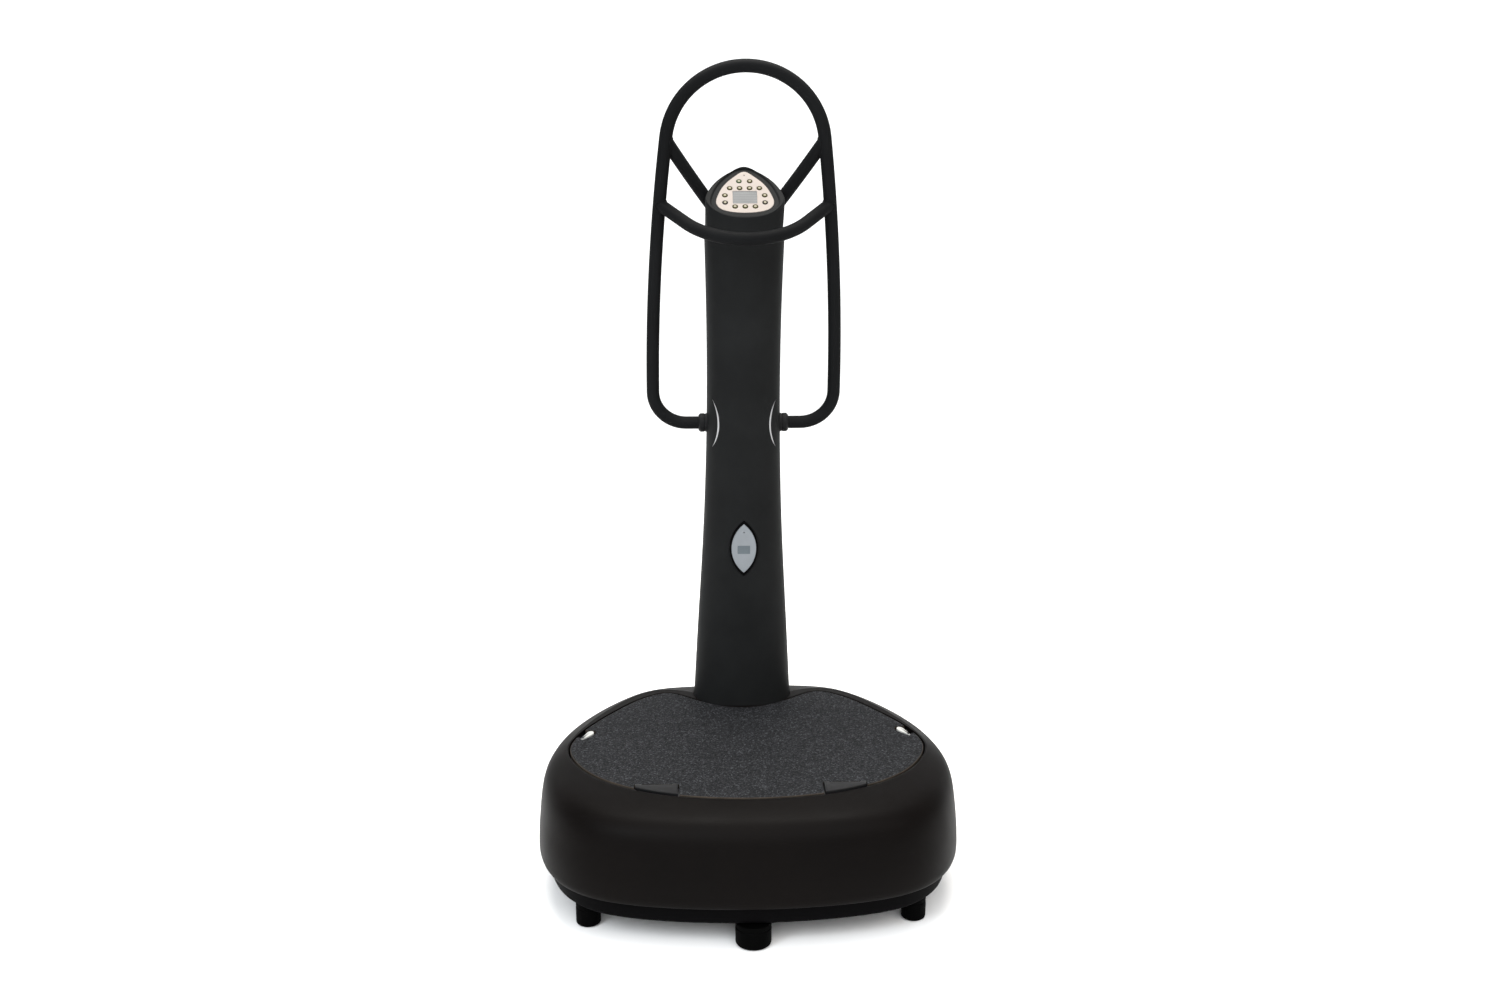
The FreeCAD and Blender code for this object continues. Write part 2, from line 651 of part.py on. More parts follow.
def loop_point(height):
    """The loop's right centre line at a height, by bisection along its side."""
    side, arch, centre = loop_shape()
    lean = math.radians(LOOP_LEAN)
    s = (height - STUB_Z) / math.cos(lean)
    if s < centre + arch * math.sin(math.radians(SIDE_TURN)):
        x = LOOP_HALF - side + math.sqrt(side ** 2 - (s - BEND_R) ** 2)
    else:
        x = math.sqrt(arch ** 2 - (s - centre) ** 2)
    return V(x, STUB_Y - s * math.sin(lean), height)


def crossbar_path():
    """The crossbar's centre line: one bend in the middle and straight ends."""
    end = loop_point(CROSSBAR_END_Z)
    other = V(-end.x, end.y, end.z)
    chord = V(0, end.y, end.z)
    bow = CROSSBAR_MID - chord
    depth = bow.Length
    bow.normalize()
    s = math.sin(math.radians(CROSSBAR_TURN))
    c = math.cos(math.radians(CROSSBAR_TURN))
    # radius * (1 - c) + straight * s = depth; radius * s + straight * c = end.x
    straight = (end.x * (1 - c) - depth * s) / (c * (1 - c) - s * s)
    radius = (end.x - straight * c) / s
    bend = chord + bow * (straight * s)
    right = V(radius * s, bend.y, bend.z)
    left = V(-radius * s, bend.y, bend.z)
    return Part.Wire([Part.makeLine(other, left),
                      Part.Arc(left, CROSSBAR_MID, right).toShape(),
                      Part.makeLine(right, end)])


def make_handle():
    path = loop_path()
    solid_loop = pipe(path, TUBE_R)
    save("handle_loop", solid_loop.cut(pipe(path, TUBE_R - TUBE_WALL)))
    save("crossbar", solid_of(tube(crossbar_path(), BRACE_R, TUBE_WALL).cut(solid_loop)))
    strut = tube(strut_path(1), BRACE_R, TUBE_WALL).cut(solid_loop).cut(post_block(POST_SIZE))
    save_pair("strut", solid_of(strut))
    ring = cylinder(18.5, V(60, STUB_Y, STUB_Z), V(89, STUB_Y, STUB_Z))
    ring = ring.makeFillet(2, [e for e in ring.Edges if e.BoundBox.XLength < 0.1])
    ring = ring.cut(handle_axis_hole(TUBE_R + RUNNING)).cut(column_block(0, 700, 1000))
    save_pair("collar", solid_of(ring))
    radius = spigot_radius()
    bar = cylinder(radius, V(-70, STUB_Y, STUB_Z), V(70, STUB_Y, STUB_Z))
    save("handle_spigot", bar)


def make_side_trims():
    """A slim bright crescent each side, laid on the column beside the collar."""
    skin = column_block(-0.7, 780, 930).cut(column_block(0, 770, 940))
    low = V(62, 0, 809)
    high = V(62, 0, 905)
    outer = Part.Arc(low, V(49, 0, 857), high).toShape()
    inner = Part.Arc(low, V(52, 0, 857), high).toShape()
    strip = Part.Face(Part.Wire([outer, inner])).extrude(V(0, 180, 0))
    right = solid_of(strip.common(skin).common(seam_prism(True)))
    save("side_trims", group([right, right.mirror(V(0, 0, 0), V(1, 0, 0))]))


# ---- lens-shaped display ----
def eye_place():
    return FreeCAD.Placement(V(0, EYE_Y, EYE_Z), FreeCAD.Rotation(V(1, 0, 0), 90 + EYE_LEAN))


def eye_prism(half_width, half_height, z0, z1):
    right = Part.Arc(V(0, -half_height, z0), V(half_width, 0, z0), V(0, half_height, z0))
    left = Part.Arc(V(0, half_height, z0), V(-half_width, 0, z0), V(0, -half_height, z0))
    face = Part.Face(Part.Wire([right.toShape(), left.toShape()]))
    return face.extrude(V(0, 0, z1 - z0))


def make_eye_display():
    bezel = eye_prism(28.5, 59, -12, 2.0).cut(eye_prism(24.9, 52.3, -3, 5))
    lcd_w, lcd_h = EYE_LCD
    window = box(-lcd_w / 2, lcd_w / 2, -lcd_h / 2 - 3, lcd_h / 2 - 3, -20, 5)
    face = eye_prism(24.7, 52, -3, 1.2).cut(window)
    face = face.cut(cylinder(1.3, V(0, 34, 0.2), V(0, 34, 5)))
    lcd = box(-lcd_w / 2 + 0.1, lcd_w / 2 - 0.1, -lcd_h / 2 - 2.9, lcd_h / 2 - 3.1, -3, 0.8)
    for name, shape in (("eye_bezel", bezel), ("eye_face", face), ("eye_lcd", lcd)):
        shape.Placement = eye_place()
        save(name, shape)


# ---- console ----
PANEL = mirrored(PANEL_HALF)
HOOD = mirrored(HOOD_HALF)


def panel_place():
    return FreeCAD.Placement(PANEL_ORIGIN, FreeCAD.Rotation(V(1, 0, 0), PANEL_TILT))


def placed(shape, place):
    copy = shape.copy()
    copy.Placement = place
    return copy


def make_console_head():
    place = panel_place()
    hood = placed(prism(HOOD, -260, RIM_RISE), place)
    head = column_block(0, HEAD_SEAM + SEAM, 1399).common(hood)
    cavity = placed(prism(inset(HOOD, 3), -265, -PANEL_THICK - 3), place)
    head = head.cut(column_block(3, HEAD_SEAM - 1, 1399).common(cavity))
    head = head.cut(placed(prism(inset(PANEL, -9), -0.6, 10), place))
    head = head.cut(placed(prism(inset(PANEL, -0.2), -PANEL_THICK, 10), place))
    head = head.cut(placed(prism(inset(PANEL, 5), -20, 10), place))
    for sign in (-1, 1):
        head = head.cut(pipe(strut_path(sign), BRACE_R + 0.5))
    save("console_head", solid_of(head))


def make_console_panel():
    place = panel_place()
    lcd_w, lcd_h = LCD_SIZE
    cx, cy = LCD_CENTRE
    panel = prism(PANEL, -PANEL_THICK, 0)
    panel = panel.cut(box(cx - lcd_w / 2, cx + lcd_w / 2, cy - lcd_h / 2, cy + lcd_h / 2, -10, 5))
    for x, y in BUTTONS:
        panel = panel.cut(cylinder(BUTTON_HOLE_R, V(x, y, -10), V(x, y, 5)))
    panel = panel.cut(cylinder(1.4, V(0, 99, -1), V(0, 99, 5)))
    save("console_panel", placed(panel, place))
    screen = box(cx - lcd_w / 2 + 0.2, cx + lcd_w / 2 - 0.2, cy - lcd_h / 2 + 0.2,
                 cy + lcd_h / 2 - 0.2, BOARD_TOP, -0.6)
    save("console_lcd", placed(screen, place))
    board = prism(inset(PANEL, 8), BOARD_TOP - 1.6, BOARD_TOP)
    save("console_board", placed(board, place))


def make_buttons():
    for number, (x, y) in enumerate(BUTTONS, 1):
        cap = cylinder(BUTTON_R, V(x, y, BUTTON_BOTTOM), V(x, y, 1.0))
        cap = cap.makeFillet(0.6, [e for e in cap.Edges if e.BoundBox.ZMin > 0.9])
        flange = cylinder(6.4, V(x, y, BUTTON_BOTTOM), V(x, y, BUTTON_BOTTOM + 1.5))
        save(f"button_{number:02d}", placed(fuse([cap, flange]), panel_place()))


# ---- electrics ----
def rounded_path(points, radii):
    """Straight runs joined by tangent arcs, one radius for each inner point."""
    edges = []
    last = points[0]
    for before, corner, after, radius in zip(points, points[1:], points[2:], radii):
        come = (before - corner).normalize()
        go = (after - corner).normalize()
        angle = come.getAngle(go)
        reach = radius / math.tan(angle / 2)
        first = corner + come * reach
        second = corner + go * reach
        middle = (come + go).normalize() * (radius / math.sin(angle / 2) - radius) + corner
        edges.append(Part.makeLine(last, first))
        edges.append(Part.Arc(first, middle, second).toShape())
        last = second
    edges.append(Part.makeLine(last, points[-1]))
    return Part.Wire(edges)


def make_column_cable():
    start = panel_place().multVec(V(0, 50, BOARD_TOP - 6.6))
    points = [start, V(0, 106, 1240), V(0, 111, 1160), V(0, 181, 300), V(0, 156, 200),
              V(-70, 148, 150), V(-225, 148, 150), V(-225, 148, 110)]
    radii = [60, 200, 120, 60, 50, 30]
    save("column_cable", pipe(rounded_path(points, radii), 4.0))


def make_controller():
    body = box(-270, -180, 108, 192, TRAY_BOTTOM + 3, 106)
    body = body.makeFillet(4, [e for e in body.Edges if e.BoundBox.ZLength > 40])
    gland = cylinder(8, V(-225, 148, 106), V(-225, 148, 110))
    fins = [box(-266, -184, 114 + 8 * k, 117 + 8 * k, 106, 112) for k in (0, 1, 7, 8, 9)]
    save("controller", fuse([body, gland] + fins))


def make_mains_module():
    z = MODULE_Z
    half = MODULE_HALF_H
    flange = box(-30, 30, MODULE_Y, MODULE_Y + 3, z - half, z + half)
    body = box(-24.7, 24.7, 343, MODULE_Y, z - half + 3.3, z + half - 3.3)
    module = fuse([flange, body])
    socket = box(-12, 12, 355, 400, z - 21, z - 4)
    pins = [box(x - 1, x + 1, 353, 371, z - 14.5, z - 10.5) for x in (-7, 0, 7)]
    module = module.cut(socket).fuse(pins)
    pocket = cylinder(ROCKER_R + 0.5, V(-11, ROCKER_Y, ROCKER_Z), V(11, ROCKER_Y, ROCKER_Z))
    mouth = box(-11, 11, ROCKER_Y, 400, ROCKER_Z - ROCKER_R - 1, ROCKER_Z + ROCKER_R + 1)
    pivot = cylinder(ROCKER_PIN_R + RUNNING, V(-13, ROCKER_Y, ROCKER_Z), V(13, ROCKER_Y, ROCKER_Z))
    save("mains_inlet", solid_of(module.cut(pocket).cut(mouth).cut(pivot)))


def make_rocker():
    """A drum on its pivot pins with a shallow vee on its face, tipped to off."""
    drum = cylinder(ROCKER_R, V(-10.6, ROCKER_Y, ROCKER_Z), V(10.6, ROCKER_Y, ROCKER_Z))
    pins = cylinder(ROCKER_PIN_R, V(-12.8, ROCKER_Y, ROCKER_Z), V(12.8, ROCKER_Y, ROCKER_Z))
    lever = box(-10.6, 10.6, ROCKER_Y, ROCKER_Y + 11, ROCKER_Z - 6, ROCKER_Z + 6)
    flat_y = ROCKER_Y + 8
    cutters = []
    for sign in (-1, 1):
        wedge = box(-12, 12, 0, 20, -30, 30)
        turn = FreeCAD.Rotation(V(1, 0, 0), 12 * sign)
        wedge.Placement = FreeCAD.Placement(V(0, flat_y, ROCKER_Z), turn)
        cutters.append(wedge)
    upper = cutters[0].common(box(-20, 20, 300, 420, ROCKER_Z, 300))
    lower = cutters[1].common(box(-20, 20, 300, 420, 0, ROCKER_Z))
    rocker = fuse([drum, pins, lever]).cut(upper).cut(lower)
    tip = FreeCAD.Rotation(V(1, 0, 0), -12)
    rocker.rotate(V(0, ROCKER_Y, ROCKER_Z), tip.Axis, math.degrees(tip.Angle))
    save("power_switch", solid_of(rocker))


make_base_covers()
make_under_tray()
make_base_frame()
make_feet()
make_wheels()
make_mat_and_clips()
make_platform()
for motor_name, motor_y in MOTORS:
    make_motor(motor_name, motor_y)
    make_rotor(motor_name, motor_y)
make_column_covers()
make_cover_screws()
make_column_post()
make_handle()
make_side_trims()
make_eye_display()
make_console_head()
make_console_panel()
make_buttons()
make_column_cable()
make_controller()
make_mains_module()
make_rocker()
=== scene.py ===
import json
import math
import bmesh
import bpy
import numpy as np
from mathutils import Matrix, Vector


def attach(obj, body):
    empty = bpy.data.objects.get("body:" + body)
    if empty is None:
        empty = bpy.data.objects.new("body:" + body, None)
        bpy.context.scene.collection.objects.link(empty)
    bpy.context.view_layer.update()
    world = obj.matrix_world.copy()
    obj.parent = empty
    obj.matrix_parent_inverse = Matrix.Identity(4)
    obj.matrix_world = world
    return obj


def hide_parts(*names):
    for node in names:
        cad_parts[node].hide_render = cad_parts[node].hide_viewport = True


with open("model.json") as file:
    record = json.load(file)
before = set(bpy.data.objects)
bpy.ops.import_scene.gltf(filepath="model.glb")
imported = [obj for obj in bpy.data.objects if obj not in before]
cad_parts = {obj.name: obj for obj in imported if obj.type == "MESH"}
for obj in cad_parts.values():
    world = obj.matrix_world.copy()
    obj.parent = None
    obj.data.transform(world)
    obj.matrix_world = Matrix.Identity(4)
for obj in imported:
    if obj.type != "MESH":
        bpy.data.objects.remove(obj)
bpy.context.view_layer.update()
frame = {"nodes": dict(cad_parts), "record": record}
NODES = frame["nodes"]

# Lengths in this script are millimetres, in the CAD frame: X right, Y to the rear, Z up,
# origin on the floor under the middle. Meshes are written in metres.
MM = 0.001

# ---- the machine's outlines, as in the CAD source ----
BODY_HALF = [(0, -391), (120, -384), (225, -365), (305, -331), (362, -271), (392, -195),
             (402, -115), (396, -25), (375, 65), (335, 150), (275, 235), (210, 305),
             (150, 345), (85, 378), (0, 391)]
MAT_HALF = [(0, -288), (90, -280), (170, -260), (238, -226), (291, -180), (327, -122),
            (343, -58), (329, 8), (298, 70), (252, 140), (200, 200), (155, 221),
            (116, 198), (62, 158), (0, 138)]
RIM_HALF = [(0, -295), (92, -287), (173, -267), (243, -231), (297, -184), (334, -124),
            (350, -58), (337, 10), (309, 78), (268, 152), (218, 216), (168, 243),
            (120, 234), (62, 202), (0, 186)]
COVER_SECTIONS = [(86, 0.0, 5.0), (92, 0.0, 1.2), (102, 0.0, 0.0), (142, 0.03, 0.0),
                  (170, 0.075, 0.0), (200, 0.14, 0.0), (221, 0.225, 0.0), (237, 0.38, 0.0),
                  (247, 0.61, 0.0), (257, 1.0, 0.0)]
COLUMN = [(200, 103.5, 148, 228, 345), (262, 100, 150, 228, 340), (400, 92.5, 147, 220, 322),
          (600, 81, 134, 204, 297), (900, 72.3, 109, 178, 270), (1150, 74.8, 86, 154, 254),
          (1250, 77.5, 73, 138, 248), (1400, 80, 58, 126, 238)]
PANEL_HALF = [(0, 0), (32, 4), (47.5, 12), (54.2, 26), (50.8, 45), (43.3, 64), (31.0, 82.5),
              (15.5, 98.5), (0, 108.5)]
HOOD_HALF = [(0, -60), (60, -45), (82, -5), (78.5, 25), (72, 48), (61, 70), (46, 89),
             (25, 106), (0, 116)]
SIDE_CLIP = [(-21, -4.5), (-10, -6.2), (6, -6.6), (17, -5), (20.5, 0), (17, 5), (7, 6.4),
             (-7, 2.2)]
BUTTONS = [(-10.2, 83), (10.2, 83), (-28, 64.5), (-9.4, 64.5), (9.4, 64.5), (28, 64.5),
           (-37.5, 45.5), (37.5, 45.5), (-37.5, 26.5), (37.5, 26.5), (-19, 16), (0, 16),
           (19, 16)]
FEET = [("foot_front", 0.0, -350.0, 33.0), ("foot_left", -303.0, -266.0, 23.0),
        ("foot_right", 303.0, -266.0, 23.0), ("foot_rear_left", -176.0, 282.0, 23.0),
        ("foot_rear_right", 176.0, 282.0, 23.0)]
WHEEL_X = 120.0
AXLE_Y = 352.0
AXLE_Z = 36.0
TRAY_WALL = 3.0
TRAY_FLOOR = 48.0
TRAY_TOP = 92.0
RIM_TOP = 257.0
MAT_TOP = 258.0
MAT_DEPTH = 8.0
LIP = 6.0
GAP = 4.0
WALL = 4.0
SPLIT_Y = 235.0
SEAM = 0.6
ROUNDNESS = 2.3
COLUMN_FOOT = 206.0
HEAD_SEAM = 1222.0
TUBE_R = 12.5
BRACE_R = 12.2
STUB = Vector((0, 180, 849))
LOOP_LEAN = math.radians(8.6)
LOOP_HALF = 178.0
BEND_R = 65.0
SIDE_TURN = math.radians(7)
TOP_HEIGHT = 1550.0
BAR_END = 1284.0
BAR_BOW = Vector((0, 10, 1231))
BAR_BEND = math.radians(52)
STRUT_TOP = 1404.0
STRUT_LOW = Vector((38, 172, 1244))
STRUT_BOW = Vector((5, 3, 4))
EYE_AT = Vector((0, 134, 601))
EYE_LEAN = math.radians(94.2)
AROUND = 288


# ---- curves and rings ----
def mirrored(half):
    return list(half) + [(-x, y) for x, y in reversed(half[1:-1])]


def inset(points, distance):
    moved = []
    count = len(points)
    for i, (x, y) in enumerate(points):
        before = points[i - 1]
        after = points[(i + 1) % count]
        dx = after[0] - before[0]
        dy = after[1] - before[1]
        length = math.hypot(dx, dy)
        moved.append((x - dy / length * distance, y + dx / length * distance))
    return moved


def blended(first, second, share):
    return [(a[0] + (b[0] - a[0]) * share, a[1] + (b[1] - a[1]) * share)
            for a, b in zip(first, second)]


def cubic(knots, values, bends, at):
    """Cubic spline values at the given parameters, from second derivatives at the knots."""
    i = np.clip(np.searchsorted(knots, at, side="right") - 1, 0, len(knots) - 2)
    h = (knots[i + 1] - knots[i])
    a = (knots[i + 1] - at) / h
    b = 1 - a
    shape = (-1,) + (1,) * (values.ndim - 1)
    a, b, h = a.reshape(shape), b.reshape(shape), h.reshape(shape)
    return (a * values[i] + b * values[i + 1]
            + ((a ** 3 - a) * bends[i] + (b ** 3 - b) * bends[i + 1]) * h ** 2 / 6)


def closed_curve(points, count):
    """A smooth closed curve through the points, sampled at equal parameter steps."""
    p = np.array(points, float)
    n = len(p)
    h = np.linalg.norm(np.roll(p, -1, 0) - p, axis=1)
    system = np.zeros((n, n))
    right = np.zeros_like(p)
    for i in range(n):
        before = h[i - 1]
        after = h[i]
        nxt = (i + 1) % n
        system[i, i - 1] += before
        system[i, i] += 2 * (before + after)
        system[i, nxt] += after
        right[i] = 6 * ((p[nxt] - p[i]) / after - (p[i] - p[i - 1]) / before)
    bends = np.linalg.solve(system, right)
    knots = np.concatenate([[0], np.cumsum(h)])
    at = np.arange(count) / count * knots[-1]
    return cubic(knots, np.vstack([p, p[:1]]), np.vstack([bends, bends[:1]]), at)


def open_curve(stations, at, knots=None):
    """A natural cubic through stations of any shape, at parameters from 0 to 1 or in knots."""
    p = np.array(stations, float)
    n = len(p)
    if knots is None:
        steps = np.linalg.norm((p[1:] - p[:-1]).reshape(n - 1, -1), axis=1)
        knots = np.concatenate([[0], np.cumsum(steps)]) / steps.sum()
    knots = np.array(knots, float)
    h = knots[1:] - knots[:-1]
    flat = p.reshape(n, -1)
    system = np.eye(n)
    right = np.zeros_like(flat)
    for i in range(1, n - 1):
        system[i, i - 1] = h[i - 1]
        system[i, i] = 2 * (h[i - 1] + h[i])
        system[i, i + 1] = h[i]
        right[i] = 6 * ((flat[i + 1] - flat[i]) / h[i] - (flat[i] - flat[i - 1]) / h[i - 1])
    bends = np.linalg.solve(system, right).reshape(p.shape)
    return cubic(knots, p, bends, np.array(at, float))


def at_height(outline, z):
    """A flat outline as a ring of points at a height."""
    flat = np.asarray(outline, float)
    return np.column_stack([flat, np.full(len(flat), float(z))])


def offset(ring, distance):
    """Moves a closed, level ring outwards by a distance, inwards if negative."""
    ring = np.asarray(ring, float)
    run = np.roll(ring, -1, 0) - np.roll(ring, 1, 0)
    normal = np.column_stack([run[:, 1], -run[:, 0], np.zeros(len(ring))])
    return ring + normal / np.linalg.norm(normal, axis=1)[:, None] * distance


def corner(before, at, after, radius, steps):
    """Rings that round the corner at a ring between its two neighbours."""
    back = before - at
    ahead = after - at
    back_length = np.linalg.norm(back, axis=1)[:, None]
    ahead_length = np.linalg.norm(ahead, axis=1)[:, None]
    reach = np.minimum(radius, 0.46 * np.minimum(back_length, ahead_length))
    start = at + back / np.maximum(back_length, 1e-6) * reach
    end = at + ahead / np.maximum(ahead_length, 1e-6) * reach
    shares = np.linspace(0, 1, steps + 1)
    return [(1 - t) ** 2 * start + 2 * t * (1 - t) * at + t ** 2 * end for t in shares]


def rounded(stations, loop=False, steps=5):
    """Rings along a profile of (ring, corner radius); radius 0 keeps the ring as it is."""
    rings = []
    count = len(stations)
    for i, (ring, radius) in enumerate(stations):
        edge = not loop and i in (0, count - 1)
        if radius and not edge:
            before = stations[i - 1][0]
            after = stations[(i + 1) % count][0]
            rings += corner(before, ring, after, radius, steps)
        else:
            rings.append(ring)
    return rings


def round_outline(x, y, radius, count):
    angles = [2 * math.pi * k / count for k in range(count)]
    return [(x + radius * math.cos(a), y + radius * math.sin(a)) for a in angles]


def spokes(centre, side, other, radius, count):
    """A ring of points round a centre, in the plane of two directions."""
    return np.array([tuple(centre + side * x + other * y)
                     for x, y in round_outline(0, 0, radius, count)])


def circle(centre, axis, radius, count=64):
    """A ring of points round an axis."""
    axis = Vector(axis).normalized()
    side = axis.orthogonal() if abs(axis.z) >= 0.9 else Vector((0, 0, 1)).cross(axis)
    side.normalize()
    return spokes(Vector(centre), side, axis.cross(side), radius, count)


# ---- meshes ----
def linked(name, data):
    """A new object in the scene."""
    obj = bpy.data.objects.new(name, data)
    bpy.context.scene.collection.objects.link(obj)
    return obj


def smoothed(mesh, sharp):
    for polygon in mesh.polygons:
        polygon.use_smooth = True
    mesh.set_sharp_from_angle(angle=math.radians(sharp))


def finished(name, mesh, sharp):
    smoothed(mesh, sharp)
    return linked(name, mesh)


def evaluated(obj):
    """A new mesh of the object as its modifiers leave it."""
    shown = obj.evaluated_get(bpy.context.evaluated_depsgraph_get())
    return bpy.data.meshes.new_from_object(shown)


def skin(name, rings, loop=False, sharp=40):
    """A closed quad net through rings of equal length, its ends capped unless it loops."""
    count = len(rings[0])
    rows = len(rings)
    verts = [tuple(v * MM) for ring in rings for v in np.asarray(ring, float)]
    faces = []
    for j in range(rows if loop else rows - 1):
        low = j * count
        high = (j + 1) % rows * count
        for i in range(count):
            k = (i + 1) % count
            faces.append((low + i, low + k, high + k, high + i))
    if not loop:
        faces.append(tuple(reversed(range(count))))
        faces.append(tuple(range((rows - 1) * count, rows * count)))
    mesh = bpy.data.meshes.new(name)
    mesh.from_pydata(verts, [], faces)
    tidy(mesh)
    return finished(name, mesh, sharp)


def tidy(mesh):
    """Merges doubled points and turns the faces outwards."""
    bm = bmesh.new()
    bm.from_mesh(mesh)
    bmesh.ops.remove_doubles(bm, verts=bm.verts, dist=1e-6)
    bmesh.ops.dissolve_degenerate(bm, edges=bm.edges, dist=1e-7)
    bmesh.ops.recalc_face_normals(bm, faces=bm.faces)
    bm.to_mesh(mesh)
    bm.free()


def baked(obj, sharp):
    """Applies the object's modifiers to its mesh."""
    mesh = evaluated(obj)
    obj.modifiers.clear()
    obj.data = mesh
    tidy(mesh)
    smoothed(mesh, sharp)


def carve(obj, cutters, operation="DIFFERENCE", sharp=40):
    """Cuts closed meshes out of an object and deletes them."""
    for cutter in cutters:
        step = obj.modifiers.new("carve", "BOOLEAN")
        step.operation = operation
        step.solver = "EXACT"
        step.object = cutter
    baked(obj, sharp)
    for cutter in cutters:
        bpy.data.objects.remove(cutter)
    return obj


def plate(name, outlines, z0, z1, bevel, place=Matrix()):
    """A flat plate from its outline and any holes, its edges rounded and its faces flat."""
    curve = bpy.data.curves.new(name, "CURVE")
    curve.dimensions = "2D"
    curve.fill_mode = "BOTH"
    for outline in outlines:
        spline = curve.splines.new("POLY")
        spline.points.add(len(outline) - 1)
        for point, (x, y) in zip(spline.points, outline):
            point.co = (x * MM, y * MM, 0, 1)
        spline.use_cyclic_u = True
    half = (z1 - z0) / 2
    curve.extrude = (half - bevel) * MM
    curve.bevel_depth = bevel * MM
    curve.bevel_resolution = 3
    curve.offset = -bevel * MM
    shown = linked(name, curve)
    bpy.context.view_layer.update()
    mesh = evaluated(shown)
    bpy.data.objects.remove(shown)
    mesh.transform(Matrix.Translation((0, 0, (z0 + half) * MM)))
    mesh.transform(place)
    mesh.name = name
    tidy(mesh)
    obj = finished(name, mesh, 40)
    level = place.to_3x3() @ Vector((0, 0, 1))
    for polygon in mesh.polygons:
        polygon.use_smooth = abs(polygon.normal.dot(level)) < 0.999
    return obj


def joined(name, parts):
    """One object from several that share a finish."""
    bm = bmesh.new()
    for part in parts:
        bm.from_mesh(part.data)
        bpy.data.objects.remove(part)
    mesh = bpy.data.meshes.new(name)
    bm.to_mesh(mesh)
    bm.free()
    return finished(name, mesh, 40)


def block(x0, x1, y0, y1, z0, z1):
    """A plain closed box used as a cutter."""
    mesh = bpy.data.meshes.new("cutter")
    corners = [(x, y, z) for x in (x0, x1) for y in (y0, y1) for z in (z0, z1)]
    faces = [(0, 1, 3, 2), (4, 6, 7, 5), (0, 4, 5, 1), (2, 3, 7, 6), (0, 2, 6, 4), (1, 5, 7, 3)]
    mesh.from_pydata([tuple(c * MM for c in p) for p in corners], [], faces)
    tidy(mesh)
    return linked("cutter", mesh)


def rod(radius, start, end, count=48):
    """A plain closed bar used as a cutter."""
    axis = Vector(end) - Vector(start)
    return skin("cutter", [circle(start, axis, radius, count), circle(end, axis, radius, count)])


def lathe(name, origin, axis, profile, count=64, sharp=35, steps=4, loop=False):
    """A turned piece from (distance along the axis, radius, corner radius)."""
    axis = Vector(axis).normalized()
    stations = []
    for along, radius, rounding in profile:
        centre = Vector(origin) + axis * along
        stations.append((circle(centre, axis, max(radius, 0.01), count), rounding))
    return skin(name, rounded(stations, loop, steps), loop, sharp)


def sweep(name, path, radius, count=32, sharp=50, loop=False):
    """A round bar along a path of points, with a steady cross-section."""
    points = [Vector(p) for p in path]
    total = len(points)
    tangents = []
    for i in range(total):
        if loop:
            ahead = points[(i + 1) % total]
            behind = points[i - 1]
        else:
            ahead = points[min(i + 1, total - 1)]
            behind = points[max(i - 1, 0)]
        tangents.append((ahead - behind).normalized())
    side = tangents[0].orthogonal().normalized()
    rings = []
    for point, tangent in zip(points, tangents):
        side = (side - tangent * side.dot(tangent)).normalized()
        rings.append(spokes(point, side, tangent.cross(side), radius, count))
    return skin(name, rings, loop, sharp)


# ---- materials ----
def shader(name, colour, roughness, coat=0.0, metallic=0.0, specular=0.5):
    """A new node material with its even values set on the shader itself."""
    material = bpy.data.materials.new(name)
    material.use_nodes = True
    surface = material.node_tree.nodes["Principled BSDF"]
    surface.inputs["Base Color"].default_value = (*colour, 1)
    surface.inputs["Roughness"].default_value = roughness
    surface.inputs["Metallic"].default_value = metallic
    surface.inputs["Specular IOR Level"].default_value = specular
    surface.inputs["Coat Weight"].default_value = coat
    surface.inputs["Coat Roughness"].default_value = 0.12
    material.diffuse_color = (*colour, 1)
    return material, surface


def node(material, kind, **values):
    made = material.node_tree.nodes.new(kind)
    for key, value in values.items():
        if key in made.inputs:
            made.inputs[key].default_value = value
        else:
            setattr(made, key, value)
    return made


def wire(material, out, into):
    material.node_tree.links.new(out, into)


def place_of(material, stretch=(1, 1, 1)):
    """Object coordinates, in metres, stretched."""
    where = node(material, "ShaderNodeTexCoord")
    scaled = node(material, "ShaderNodeMapping")
    scaled.inputs["Scale"].default_value = stretch
    wire(material, where.outputs["Object"], scaled.inputs["Vector"])
    return scaled.outputs["Vector"]


def noise(material, where, scale, detail=4.0, rough=0.55):
    made = node(material, "ShaderNodeTexNoise", Scale=scale, Detail=detail, Roughness=rough)
    wire(material, where, made.inputs["Vector"])
    return made.outputs["Fac"]


def remap(material, value, low, high, to_low, to_high):
    made = node(material, "ShaderNodeMapRange", **{"From Min": low, "From Max": high,
                                                   "To Min": to_low, "To Max": to_high})
    wire(material, value, made.inputs["Value"])
    return made.outputs["Result"]


def ramp(material, value, stops):
    made = node(material, "ShaderNodeValToRGB")
    bar = made.color_ramp.elements
    while len(bar) < len(stops):
        bar.new(0.5)
    for element, (position, colour) in zip(bar, stops):
        element.position = position
        element.color = (*colour, 1)
    wire(material, value, made.inputs["Fac"])
    return made.outputs["Color"]


def bump(material, surface, heights):
    """Chains bumps of (height, strength, distance in metres) into the surface's normal."""
    last = None
    for height, strength, distance in heights:
        made = node(material, "ShaderNodeBump", Strength=strength, Distance=distance)
        wire(material, height, made.inputs["Height"])
        if last is not None:
            wire(material, last, made.inputs["Normal"])
        last = made.outputs["Normal"]
    wire(material, last, surface.inputs["Normal"])


def scaled(colour, factor):
    return tuple(min(1.0, c * factor) for c in colour)


